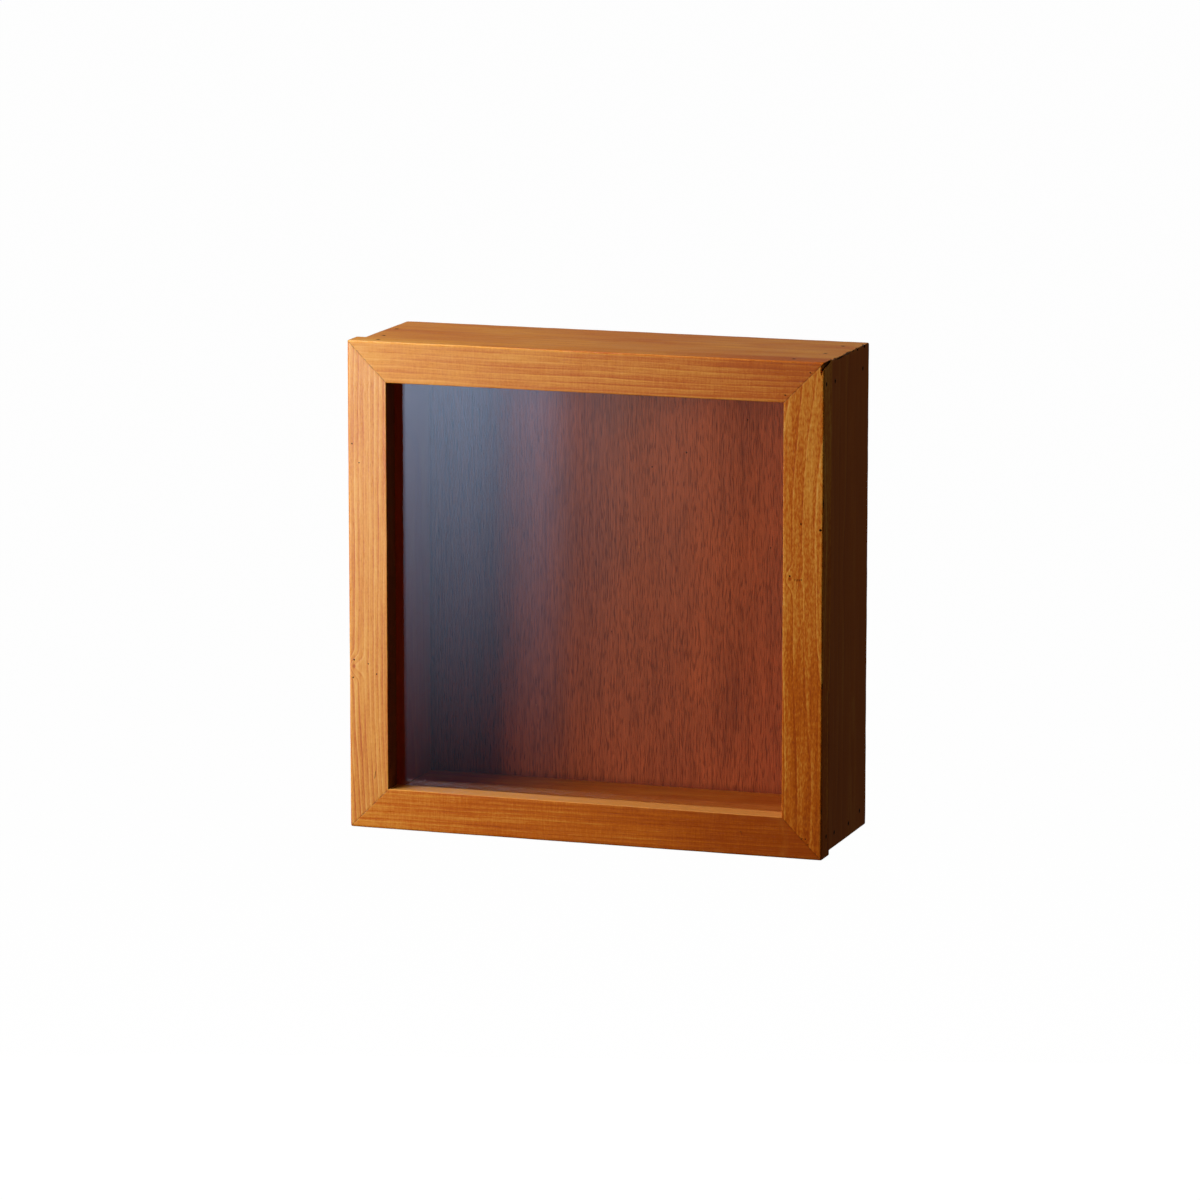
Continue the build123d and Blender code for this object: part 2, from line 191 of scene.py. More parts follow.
class StudioSettings(bpy.types.PropertyGroup):
    """Camera and lights"""

    lens: FloatProperty(
        name="Lens", description="Focal length of the camera on a 36 mm sensor", min=1, default=187.2)
    azimuth: FloatProperty(
        name="Azimuth", description="Angle of the camera to the right of the front",
        subtype="ANGLE", unit="ROTATION", default=math.radians(18.54))
    elevation: FloatProperty(
        name="Elevation", description="Angle of the camera above the horizon",
        subtype="ANGLE", unit="ROTATION", default=math.radians(10.43))
    distance: FloatProperty(
        name="Distance", description="From the camera to what it looks at",
        subtype="DISTANCE", unit="LENGTH", min=0.1, default=3.79)
    key: FloatProperty(
        name="Key light", description="Power of the large light at the front left",
        subtype="POWER", unit="POWER", min=0, default=7.3)
    top: FloatProperty(
        name="Top light", description="Power of the light above the front",
        subtype="POWER", unit="POWER", min=0, default=10.5)
    side: FloatProperty(
        name="Side light", description="Power of the faint light at the right, behind the front",
        subtype="POWER", unit="POWER", min=0, default=1.5)
    rear: FloatProperty(
        name="Rear light", description="Power of the light behind the object",
        subtype="POWER", unit="POWER", min=0, default=9.0)
    softbox: FloatProperty(
        name="Softbox face", description="Brightness of the light that the glass mirrors",
        min=0, default=16.4)
    card: FloatProperty(
        name="Rear card", description="Brightness of the pale card behind, mirrored by the top",
        min=0, default=0.145)
    ambient: FloatProperty(
        name="Ambient", description="Brightness of the room around the object", min=0, default=0.022)
    floor_z: FloatProperty(
        name="Floor", description="Height of the floor below the middle of the object",
        subtype="DISTANCE", unit="LENGTH", default=-0.62)


# ---------------------------------------------------------------- shader trees


class Shader:
    """A material's node tree, built with one call for each node."""

    def __init__(self, name):
        self.material = bpy.data.materials.new(name)
        self.material.use_nodes = True
        self.tree = self.material.node_tree
        self.tree.nodes.clear()
        self.output = self.tree.nodes.new("ShaderNodeOutputMaterial")
        self.place = self.node("ShaderNodeTexCoord").outputs["Object"]
        self.split = None

    def part(self, axis):
        """One coordinate of a place in the object."""
        if self.split is None:
            self.split = self.node("ShaderNodeSeparateXYZ", {0: self.place})
        return self.split.outputs["xyz".index(axis)]

    def put(self, value, socket):
        if isinstance(value, bpy.types.NodeSocket):
            self.tree.links.new(value, socket)
        elif value is not None:
            socket.default_value = (*value, 1) if socket.type == "RGBA" and len(value) == 3 else value

    def node(self, kind, inputs=None, **settings):
        made = self.tree.nodes.new(kind)
        for name, value in settings.items():
            setattr(made, name, value)
        for name, value in (inputs or {}).items():
            self.put(value, made.inputs[name])
        return made

    def maths(self, operation, a, b=None, c=None, clamp=False):
        made = self.node("ShaderNodeMath", {0: a, 1: b, 2: c}, operation=operation, use_clamp=clamp)
        return made.outputs[0]

    def vector(self, operation, a, b=None):
        made = self.node("ShaderNodeVectorMath", {0: a, 1: b}, operation=operation)
        return made.outputs["Value" if operation in ("LENGTH", "DISTANCE", "DOT_PRODUCT") else "Vector"]

    def mapped(self, scale, location=(0, 0, 0), rotation=(0, 0, 0), kind="POINT"):
        return self.node("ShaderNodeMapping", {
            "Vector": self.place, "Location": location, "Rotation": rotation, "Scale": scale,
        }, vector_type=kind).outputs[0]

    def noise(self, of, detail, roughness=0.5, distortion=0.0):
        return self.node("ShaderNodeTexNoise", {
            "Vector": of, "Scale": 1.0, "Detail": detail, "Roughness": roughness,
            "Distortion": distortion}).outputs[0]

    def grain(self, along, long, wide, detail, location=(0, 0, 0), roughness=0.5):
        """Noise that is long along the grain and wide across it, both in metres."""
        return self.noise(self.mapped(grain_scale(along, long, wide), location), detail, roughness)

    def span(self, value, low, high, to_low=0.0, to_high=1.0, smooth=False):
        return self.node("ShaderNodeMapRange", {
            "Value": value, "From Min": low, "From Max": high, "To Min": to_low, "To Max": to_high,
        }, interpolation_type="SMOOTHSTEP" if smooth else "LINEAR").outputs[0]

    def ramp(self, value, stops, interpolation="LINEAR"):
        made = self.node("ShaderNodeValToRGB", {"Fac": value})
        made.color_ramp.interpolation = interpolation
        marks = made.color_ramp.elements
        while len(marks) < len(stops):
            marks.new(0.5)
        for mark, (at, colour) in zip(marks, stops):
            mark.position = at
            mark.color = (*colour, 1) if hasattr(colour, "__len__") else (colour, colour, colour, 1)
        return made.outputs[0]

    def blend(self, share, a, b, kind="MIX"):
        made = self.node("ShaderNodeMix", data_type="RGBA", blend_type=kind)
        for socket, value in zip((made.inputs[0], made.inputs[6], made.inputs[7]), (share, a, b)):
            self.put(value, socket)
        return made.outputs[2]

    def add(self, tone, pattern, amount):
        """Adds a pattern to a tone, lighter above its middle and darker below."""
        return self.maths("ADD", tone, self.maths(
            "MULTIPLY", self.maths("SUBTRACT", pattern, 0.5), amount))

    def painted(self, attribute):
        return self.node("ShaderNodeAttribute", attribute_name=attribute).outputs["Fac"]

    def bump(self, height, strength, distance):
        return self.node("ShaderNodeBump", {
            "Height": height, "Strength": strength, "Distance": distance}).outputs[0]

    def surface(self, colour, roughness, normal, **plain):
        shader = self.node("ShaderNodeBsdfPrincipled", {
            "Base Color": colour, "Roughness": roughness, "Normal": normal,
            **{name.replace("_", " "): value for name, value in plain.items()}})
        self.put(shader.outputs[0], self.output.inputs["Surface"])
        return self.material


def grain_scale(along, long, wide):
    """Scale of a pattern that is long along the grain and wide across it, both in metres."""
    return tuple(1 / (long if axis == along else wide) for axis in "xyz")


ENDLESS = 1e4                          # scale along the grain: the rings never close
RING_LINE = 0.45 * MM                  # width of the thin dark line of a growth ring
RING_MIDDLE = 0.45                     # tone of the plain wood between two lines
KNOT_BEND = 9                          # radii of a knot within which it bends the rings
KNOT_DARK = 0.45
JOINT_STAIN = 0.55                     # share of the dark stain in a mitre
NAIL_RING = (1.9 * MM, 1.15 * MM)      # the stain round a nail's head fades out between these
NAIL_STAIN = 0.95
RUBBED_AND_HIGHLIGHT = 0.35                          # share of the pale wood on a rubbed arris, which is partly wear and partly a painted highlight
GRAIN_RELIEF = 0.16 * MM
PORE_RELIEF = 0.18 * MM
BRUSH_RELIEF = 0.05 * MM


def growth_rings(s, along, pith, pitch, tilt, shift, bow, knots):
    """How many growth rings lie between the pith and a place, and how deep that place is in a knot."""
    turn = (0, tilt[0], tilt[1]) if along == "x" else (tilt[0], tilt[1], 0)
    scale = tuple(ENDLESS if axis == along else pitch for axis in "xyz")
    count = s.vector("LENGTH", s.mapped(scale, pith, turn, "TEXTURE"))
    drift = s.grain(along, 0.16, 0.030, 1.5, (shift, 0, 0))
    count = s.maths("MULTIPLY_ADD", drift, 1.9, count)
    quiver = s.grain(along, 0.030, 0.006, 2, (0, shift, 0))
    count = s.maths("MULTIPLY_ADD", quiver, 0.22, count)
    amount, waist, low, high = bow
    away = s.maths("SUBTRACT", s.part(along), waist)
    away = s.maths("MINIMUM", s.maths("MAXIMUM", away, low), high)
    count = s.maths("MULTIPLY_ADD", s.maths("MULTIPLY", away, away), -100 * amount, count)
    inside = None
    for place, radius, pull in knots:
        near = s.vector("DISTANCE", s.place, place)
        bend = s.maths("POWER", s.span(near, radius * KNOT_BEND, 0, smooth=True), 2.0)
        count = s.maths("MULTIPLY_ADD", bend, pull, count)
        core = s.span(near, radius, radius * 0.25, smooth=True)
        inside = core if inside is None else s.maths("MAXIMUM", inside, core)
    return count, inside


def ring_profile(s, count, pitch):
    """Tone across one growth ring: a pale line, plain wood, then a thin dark line."""
    thin = RING_LINE / pitch
    return s.ramp(s.maths("FRACT", count), [
        (0.0, 0.36), (thin * 0.5, 0.90), (thin * 1.1, 0.98), (thin * 2.2, 0.60), (0.60, RING_MIDDLE),
        (1 - thin * 1.8, 0.36), (1 - thin * 0.9, 0.02), (1.0, 0.36)], "EASE")


def stains_and_painted_sight_shading(s, colour, along, nails, painted_sight_shading):
    """Stain gathered in the mitres and round the nails, grime and painted shade in pits and holes, and on a
    sight face painted shade where it is shaded and painted light where it is lit.
    """
    look = bpy.context.scene.showcase_stain
    across = s.maths("ABSOLUTE", s.maths("SUBTRACT", s.maths("ABSOLUTE", s.part("x")),
                                         s.maths("ABSOLUTE", s.part("z"))))
    fleck = s.noise(s.mapped((420, 420, 420)), 2)
    joint_width = s.span(fleck, 0.42, 0.72, 0.16 * MM, 1.10 * MM)
    joint = s.maths("SUBTRACT", 1.0, s.maths("DIVIDE", across, joint_width), clamp=True)
    colour = s.blend(s.maths("MULTIPLY", joint, JOINT_STAIN), colour, look.grime)
    for head in nails:
        near = s.span(s.vector("DISTANCE", s.place, head), *NAIL_RING, 0, NAIL_STAIN)
        colour = s.blend(near, colour, look.grime)
    # Painted shade on a shaded sight face, and painted light on a lit one: the face towards the opening is
    # mixed towards the given colour.
    if painted_sight_shading:
        half, share, shading_colour = painted_sight_shading
        out = s.maths("ABSOLUTE", s.part("z" if along == "x" else "x"))
        inside = s.span(out, half + 0.5 * MM, half + 0.1 * MM, 0, share)
        colour = s.blend(inside, colour, getattr(look, shading_colour))
    return s.blend(s.painted("grime"), colour, look.grime)


def softwood(name, along, pith, pitch, tilt=(0, 0), line=0.5, knots=(), depth=0.0, ripple=0.05, shift=0.0,
             bow=(0, 0, 0, 0), contrast=1.0, nails=(), painted_sight_shading=None, painted_light_falloff=0.0, sheen=0.5, speckle=0.0):
    """Stained softwood. Its growth rings lie round a pith at a place in the frame, tilted a little
    to the timber, so that they run as straight lines or as arches. Knots bend them."""
    look = bpy.context.scene.showcase_stain
    s = Shader(name)
    count, in_knot = growth_rings(s, along, pith, pitch, tilt, shift, bow, knots)
    profile = ring_profile(s, count, pitch)
    which = s.node("ShaderNodeTexWhiteNoise", {"W": s.maths("FLOOR", count)}, noise_dimensions="1D")
    reach = s.span(which.outputs[0], 0, 1, 0.45, 1.25)
    lines = s.maths("MULTIPLY", s.maths("SUBTRACT", profile, RING_MIDDLE), reach)
    tone = s.maths("MULTIPLY_ADD", lines, line, 0.5 - depth)
    fibre = s.grain(along, 0.013, 0.00065, 2.5, roughness=0.6)
    streak = s.grain(along, 0.075, 0.0024, 3, (0, 0, shift))
    blotch = s.grain(along, 0.07, 0.022, 2, (shift, shift, 0))
    tick = s.grain(along, 0.0008, 0.006, 1.5)
    grit = s.grain(along, 0.0016, 0.00062, 2, (0, shift, shift))
    for pattern, amount in ((fibre, 0.55), (streak, 0.85), (blotch, 0.55), (tick, ripple * 3), (grit, 0.42)):
        tone = s.add(tone, pattern, amount * contrast)
    if speckle:
        tone = s.add(tone, s.grain(along, 0.0030, 0.0011, 1.5, (shift, 0, 0)), speckle * 2)
    if in_knot is not None:
        tone = s.maths("SUBTRACT", tone, s.maths("MULTIPLY", in_knot, KNOT_DARK))
    # Painted light: the tone of a timber grows paler towards its lit end and darker towards the other, as
    # the light falls off.
    run = s.maths("DIVIDE", s.part(along), DOOR_HALF)
    tone = s.maths("MULTIPLY_ADD", run, -painted_light_falloff, tone)
    colour = s.ramp(s.maths("DIVIDE", tone, 1.5), [
        (0.0, look.deep), (1 / 3, look.middle), (2 / 3, look.pale), (1.0, look.palest)])

    hair = s.grain(along, 0.006, 0.00030, 1.5)
    hairs = s.span(hair, 0.66, 0.80, 0, 0.42)
    colour = s.blend(hairs, colour, look.deep, "MULTIPLY")
    colour = stains_and_painted_sight_shading(s, colour, along, nails, painted_sight_shading)
    patchy = s.noise(s.mapped((90, 90, 90), (shift, 0, 0)), 3)
    # Painted highlight: arrises are paled, partly as wear and partly to stand for the highlights that the
    # light puts on them.
    rub_and_highlight = s.maths("MULTIPLY", s.painted("rubbed"), s.span(patchy, 0.42, 0.70, 0, RUBBED_AND_HIGHLIGHT))
    colour = s.blend(rub_and_highlight, colour, look.pale)

    gloss = s.maths("MULTIPLY_ADD", s.maths("SUBTRACT", patchy, 0.5), 0.16, look.roughness)
    gloss = s.maths("ADD", gloss, s.maths("MULTIPLY", hairs, 0.35), clamp=True)
    relief = s.maths("MULTIPLY_ADD", fibre, 0.5, s.maths("MULTIPLY", profile, 0.35))
    relief = s.maths("SUBTRACT", relief, s.maths("MULTIPLY", hairs, 1.6))
    return s.surface(colour, gloss, s.bump(relief, 0.55, GRAIN_RELIEF), Specular_IOR_Level=sheen)


def plywood(name):
    """Lauan veneer with an upright grain, fine dark pores and broad bands, and painted shade along its edges
    where the case's walls meet it.
    """
    look = bpy.context.scene.showcase_stain
    s = Shader(name)
    band = s.grain("z", 0.40, 0.030, 2)
    streak = s.grain("z", 0.06, 0.0022, 3, roughness=0.6)
    fibre = s.grain("z", 0.018, 0.00068, 2.5, roughness=0.6)
    cloud = s.noise(s.mapped((22, 22, 14)), 3)
    tone = s.maths("MULTIPLY_ADD", s.maths("SUBTRACT", band, 0.5), 0.55, 0.58)
    for pattern, amount in ((streak, 0.36), (fibre, 1.05), (cloud, 0.60)):
        tone = s.add(tone, pattern, amount)
    colour = s.ramp(tone, [(0.0, look.panel_dark), (0.62, look.panel_light),
                           (1.0, tuple(min(1, c * 1.32) for c in look.panel_light))])
    wander = s.grain("z", 0.05, 0.012, 1)
    pore_place = s.vector("ADD", s.mapped(grain_scale("z", 0.0075, 0.00052)),
                          s.node("ShaderNodeCombineXYZ", {0: s.maths("MULTIPLY", wander, 9.0)}).outputs[0])
    pores = s.span(s.noise(pore_place, 1, 0.4), 0.56, 0.66)
    colour = s.blend(s.maths("MULTIPLY", pores, 0.62), colour, look.panel_dark)
    speck = s.node("ShaderNodeTexVoronoi", {"Vector": s.mapped((70, 70, 70)), "Scale": 1.0}).outputs[0]
    colour = s.blend(s.span(speck, 0.035, 0.015, 0, 0.5), colour, look.pale)
    colour = s.blend(s.painted("grime"), colour, look.grime)
    # Painted shade: the plywood darkens towards its edges, where the case's walls meet it.
    edge = s.maths("MAXIMUM", s.maths("ABSOLUTE", s.part("x")), s.maths("ABSOLUTE", s.part("z")))
    painted_corner_shade = s.span(edge, INNER_HALF - 5 * MM, INNER_HALF - 0.2 * MM, 0, 0.35, smooth=True)
    colour = s.blend(painted_corner_shade, colour, look.panel_dark)
    gloss = s.span(cloud, 0.3, 0.7, 0.50, 0.62)
    relief = s.maths("SUBTRACT", s.maths("MULTIPLY", fibre, 0.35), pores)
    return s.surface(colour, gloss, s.bump(relief, 0.6, PORE_RELIEF), Specular_IOR_Level=0.22)


def clear_glass(name):
    """Float glass. Each face mirrors more towards its edge-on view, and is a little smudged."""
    look = bpy.context.scene.showcase_glass
    s = Shader(name)
    facing = s.node("ShaderNodeLayerWeight", {"Blend": 0.5}).outputs["Facing"]
    share = s.maths("MULTIPLY_ADD", s.maths("POWER", facing, 5.0), 1 - look.head_on, look.head_on)
    smudge = s.noise(s.mapped((26, 26, 18)), 4, 0.6, 0.6)
    wipe = s.noise(s.mapped((60, 60, 9), rotation=(0, 0.6, 0)), 3)
    haze = s.maths("MULTIPLY", s.span(smudge, 0.45, 0.75), s.span(wipe, 0.4, 0.7))
    gloss = s.node("ShaderNodeBsdfAnisotropic", {
        "Color": (1, 1, 1), "Roughness": s.span(haze, 0, 1, 0.004, look.roughness)})
    through = s.node("ShaderNodeBsdfTransparent", {"Color": (0.985, 0.992, 0.988)})
    both = s.node("ShaderNodeMixShader", {0: share, 1: through.outputs[0], 2: gloss.outputs[0]})
    s.put(both.outputs[0], s.output.inputs["Surface"])
    return s.material


def metal(name, colour, roughness, brushed, tarnish, along="z", metallic=1.0):
    """Metal with brush marks along one axis and patchy tarnish."""
    s = Shader(name)
    brush = s.grain(along, 0.012, 0.00016, 2)
    cloud = s.noise(s.mapped((260, 260, 260)), 4, 0.6)
    spot = s.noise(s.mapped((1100, 1100, 1100)), 2)
    dull = s.span(cloud, 0.38, 0.72, 0, 1, smooth=True)
    dark = tuple(c * tint for c, tint in zip(colour, tarnish))
    shade = s.blend(dull, colour, dark)
    shade = s.blend(s.span(spot, 0.68, 0.84, 0, 0.3), shade, tuple(c * 0.5 for c in dark))
    gloss = s.maths("MULTIPLY_ADD", dull, 0.18, roughness)
    gloss = s.maths("MULTIPLY_ADD", brush, brushed, gloss, clamp=True)
    relief = s.maths("MULTIPLY_ADD", brush, 0.5, s.maths("MULTIPLY", spot, 0.5))
    return s.surface(shade, gloss, s.bump(relief, 0.25, BRUSH_RELIEF), Metallic=metallic)


FINISHES = {
    "hinge_brass": lambda m: metal("satin_brass", m.brass, 0.36, 0.18, (0.84, 0.76, 0.66), metallic=0.8),
    "brass_screw": lambda m: metal("screw_brass", m.brass, 0.30, 0.12, (0.74, 0.66, 0.56), "y", 0.8),
    "plated_steel": lambda m: metal("plated_steel", m.steel, 0.34, 0.14, (0.74, 0.76, 0.80), "x", 0.75),
    "nickel_magnet": lambda m: metal("nickel_plate", m.nickel, 0.24, 0.10, (0.80, 0.78, 0.74), "x", 0.75),
    "nail_steel": lambda m: metal("nail_steel", m.nail, 0.42, 0.15, (0.9, 0.55, 0.35), "y"),
}


def finish_of(slot):
    """The material of a metal slot, made once."""
    made = bpy.data.materials.get(slot + "_finish")
    if made is None:
        made = FINISHES[slot](bpy.context.scene.showcase_metal)
        made.name = slot + "_finish"
    return made


# ---------------------------------------------------------------- meshes


SHARP_ANGLE = 35             # degrees; faces that meet at more than this are shaded apart
DRIVEN_SHARP_ANGLE = 30      # the same for nails and screws


def solid_of(node):
    """A bmesh of a CAD node with its loose triangles merged."""
    bm = bmesh.new()
    bm.from_mesh(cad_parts[node].data)
    bmesh.ops.remove_doubles(bm, verts=bm.verts, dist=1e-6)
    return bm


def mark_sharp(bm, degrees):
    """Smooth faces with sharp edges where two faces meet at more than this angle."""
    for face in bm.faces:
        face.smooth = True
    for edge in bm.edges:
        edge.smooth = len(edge.link_faces) == 2 and edge.calc_face_angle(0) < math.radians(degrees)


def settled(piece):
    """Replaces a piece's mesh with what its modifiers make of it, and removes them."""
    seen = piece.evaluated_get(bpy.context.evaluated_depsgraph_get())
    mesh = bpy.data.meshes.new_from_object(seen)
    piece.modifiers.clear()
    old, piece.data = piece.data, mesh
    bpy.data.meshes.remove(old)
    mesh.name = piece.name
    return piece


def new_piece(name, bm, material, degrees=SHARP_ANGLE):
    """A shown object from a bmesh."""
    mark_sharp(bm, degrees)
    mesh = bpy.data.meshes.new(name)
    bm.to_mesh(mesh)
    bm.free()
    mesh.materials.clear()
    mesh.materials.append(material)
    piece = bpy.data.objects.new(name, mesh)
    bpy.context.scene.collection.objects.link(piece)
    return piece


def hand_over(piece, body, slot, *nodes):
    """Ties a finished piece to its body and hides the CAD nodes that it stands for. Its slot is not used."""
    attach(piece, body)
    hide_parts(*nodes)


def cut_across(bm, axis, places):
    """Cuts every face of the mesh at planes across one axis."""
    normal = Vector([float(letter == axis) for letter in "xyz"])
    for place in places:
        bmesh.ops.bisect_plane(
            bm, geom=bm.verts[:] + bm.edges[:] + bm.faces[:], dist=1e-7,
            plane_co=normal * place, plane_no=normal)


def steps(low, high, step):
    """Evenly spaced places between two ends, about a step apart."""
    count = max(1, round((high - low) / step))
    return [low + (high - low) * n / count for n in range(1, count)]


class Arris:
    """A long outside edge of the timbers: a line along one axis, and the way into the wood."""

    def __init__(self, along, place, inward, share):
        self.axis = "xyz".index(along)
        self.place = Vector(place)
        self.inward = Vector(inward).normalized()
        self.share = share

    def wear(self, point, depth, reach):
        """How a point near this arris moves."""
        off = point - self.place
        off[self.axis] = 0
        far = off.length
        if far >= reach:
            return None
        run = point[self.axis]
        where = self.place * 40
        slow = noise.noise(Vector((run / 0.021, where.y + 3.7, where.z + where.x)))
        quick = noise.noise(Vector((run / 0.0045, where.x - 5.1, where.y + where.z)))
        amount = max(0.0, 0.30 + 0.75 * slow + 0.42 * quick)
        return self.inward * (depth * self.share * amount * (1 - far / reach) ** 1.5)


def ring_arrises(half, y, inward_y, share, out=1):
    """The four arrises round a square at one depth. out is 1 for an outside and -1 for an opening."""
    found = []
    for axis, sign in SIDES.values():
        place, inward = Vector((0, y, 0)), Vector((0, inward_y, 0))
        setattr(place, axis, sign * half)
        setattr(inward, axis, -sign * out)
        found.append(Arris("x" if axis == "z" else "z", place, inward, share))
    return found


def corner_arrises(half, share):
    """The four arrises that run from front to back."""
    return [Arris("y", (x * half, 0, z * half), (-x, 0, -z), share) for x in (-1, 1) for z in (-1, 1)]


ARRISES = {
    "door": ring_arrises(DOOR_HALF, FRONT_Y, 1, 0.75) + ring_arrises(DOOR_HALF, DOOR_BACK_Y, -1, 0.5)
    + ring_arrises(SIGHT_HALF, FRONT_Y, 1, 0.45, -1) + corner_arrises(DOOR_HALF, 0.9),
    "case": ring_arrises(CASE_HALF, CASE_FRONT_Y, 1, 0.6) + ring_arrises(CASE_HALF, 0, -1, 0.9)
    + ring_arrises(INNER_HALF, CASE_FRONT_Y, 1, 0.3, -1) + corner_arrises(CASE_HALF, 0.9),
}
SECTIONS = {
    "door": (FRONT_Y, DOOR_BACK_Y, DOOR_HALF, SIGHT_HALF),
    "case": (CASE_FRONT_Y, 0.0, CASE_HALF, INNER_HALF),
}


def below_skin(body, point):
    """How far a point lies under the nearest outer face of its timber's section."""
    front, back, outer, inner = SECTIONS[body]
    out = max(abs(point.x), abs(point.z))
    return min(point.y - front, back - point.y, outer - out, out - inner)


MARK_ROUGH = 0.22            # how uneven the skin of a mark is, of its radius
MARK_EDGE = 1.25             # how far beyond its skin a mark is darkened with grime and painted shade, 1 being its skin
EASED_ANGLE = 40             # degrees; edges sharper than this are rounded
EDGE_CUTS = (0.9 * MM, 2.2 * MM)       # cuts beside every arris of a timber
JOINT_CUTS = (0.3 * MM, 1.2 * MM)      # cuts beside every mitre
DEPTH_STEP = 9 * MM                    # between the cuts from front to back
SKIN = 1.3 * MM                        # wear moves nothing deeper than this
ON_MITRE = 0.02 * MM                   # nearer to a mitre than this is on it
PIT_DEPTH = 0.10 * MM                  # grime and painted shade lie deeper than this in a mark
HOLE_DEPTH = 0.2 * MM                  # and deeper than this in a nail hole
SPLIT_DEPTH = 0.3 * MM                 # and deeper than this in the split
NAIL_HOLE = 1.25 * MM
SPLIT_REACH = 17 * MM                  # from the corner of the door to the end of its split
OUTSIDE = 0.6 * MM                     # rubbed arrises, partly painted highlights, are no deeper than this


class Mark:
    """A small pit, dent, chip or scratch: an ellipsoid cut out of a timber. Millimetres."""

    def __init__(self, place, radii, turn=(0, 0, 0)):
        self.place = Vector(place) * MM
        self.radii = Vector(radii) * MM
        self.turn = Matrix.Rotation(math.radians(turn[1]), 4, "Y") @ Matrix.Rotation(
            math.radians(turn[2]), 4, "Z") @ Matrix.Rotation(math.radians(turn[0]), 4, "X")

    def add_to(self, bm):
        shape = Matrix.Translation(self.place) @ self.turn @ Matrix.Diagonal((*self.radii, 1))
        made = bmesh.ops.create_icosphere(bm, subdivisions=2, radius=1, matrix=shape)
        for vert in made["verts"]:
            off = vert.co - self.place
            vert.co = self.place + off * (1 + MARK_ROUGH * noise.noise(vert.co * 1300))

    def covers(self, point):
        """How far from the mark's middle a point lies, 1 on its skin."""
        off = self.turn.inverted() @ (point - self.place)
        return Vector([c / r for c, r in zip(off, self.radii)]).length


def carve(piece, marks, wedges=()):
    """Cuts marks and wedges out of a piece."""
    bm = bmesh.new()
    for mark in marks:
        mark.add_to(bm)
    for front, back, near_y, far_y in wedges:
        loops = [[bm.verts.new(Vector((x, y, z)) * MM) for x, z in points]
                 for points, y in ((front, near_y), (back, far_y))]
        bm.faces.new(loops[0])
        bm.faces.new(reversed(loops[1]))
        for n in range(len(loops[0])):
            m = (n + 1) % len(loops[0])
            bm.faces.new((loops[0][m], loops[0][n], loops[1][n], loops[1][m]))
    bmesh.ops.recalc_face_normals(bm, faces=bm.faces)
    mesh = bpy.data.meshes.new("cutter")
    bm.to_mesh(mesh)
    bm.free()
    cutter = bpy.data.objects.new("cutter", mesh)
    bpy.context.scene.collection.objects.link(cutter)
    cut = piece.modifiers.new("marks", "BOOLEAN")
    cut.operation, cut.solver, cut.object = "DIFFERENCE", "EXACT", cutter
    settled(piece)
    bpy.data.objects.remove(cutter)
    bpy.data.meshes.remove(mesh)


HEADS = {}                   # heads of the corner nails, by CAD node


def heads_in(node, body):
    """The heads of the corner nails that stand in one timber."""
    nails = body + "_corner_nails"
    if nails not in HEADS:
        HEADS[nails] = drives_of(nails)
    axis, sign = SIDES[node.split("_")[1]]
    return [head for head, out, _ in HEADS[nails] if getattr(out, axis) * sign > 0.5]


def paint_wear_and_shading(piece, body, marks, wedges):
    """Point attributes for the finish: grime and painted shade in pits, holes and the split, and rubbed
    arrises that are partly painted highlights.
    """
    mesh = piece.data
    grime, rubbed = [0.0] * len(mesh.vertices), [0.0] * len(mesh.vertices)
    reach = bpy.context.scene.showcase_wear.reach
    front, _, outer, _ = SECTIONS[body]
    heads = heads_in(piece.name, body)
    corner = Vector((outer, front, outer))
    for n, vert in enumerate(mesh.vertices):
        depth = below_skin(body, vert.co)
        # Grime and painted shade: the insides of pits, nail holes and the split are marked to be darkened.
        if depth > PIT_DEPTH and any(mark.covers(vert.co) < MARK_EDGE for mark in marks):
            grime[n] = 1.0
        if depth > HOLE_DEPTH and any((vert.co - head).length < NAIL_HOLE for head in heads):
            grime[n] = 1.0
        if wedges and depth > SPLIT_DEPTH and (vert.co - corner).length < SPLIT_REACH:
            grime[n] = 1.0
        if depth < OUTSIDE:
            for arris in ARRISES[body]:
                off = vert.co - arris.place
                off[arris.axis] = 0
                if off.length < reach:
                    rubbed[n] = max(rubbed[n], 1 - off.length / reach)
    for name, values in (("grime", grime), ("rubbed", rubbed)):
        mesh.attributes.new(name, "FLOAT", "POINT").data.foreach_set("value", values)


def mitre_opening(body, point):
    """How a point on a mitre moves, so that the two arrises of the joint are rounded down."""
    if abs(abs(point.x) - abs(point.z)) >= ON_MITRE:
        return Vector((0, 0, 0))
    front, back, outer, inner = SECTIONS[body]
    side = Vector((math.copysign(1, point.x), 0, math.copysign(1, point.z)))
    into = Vector((0, 0, 0))
    if point.y - front < SKIN:
        into.y += 1
    if back - point.y < SKIN:
        into.y -= 1
    if outer - abs(point.x) < SKIN:
        into -= side * 0.7
    if abs(point.x) - inner < SKIN:
        into += side * 0.5
    if not into.length:
        return into
    depth = bpy.context.scene.showcase_wear.joint * (0.7 + 0.9 * noise.noise(point * 210))
    return into.normalized() * max(0.0, depth)


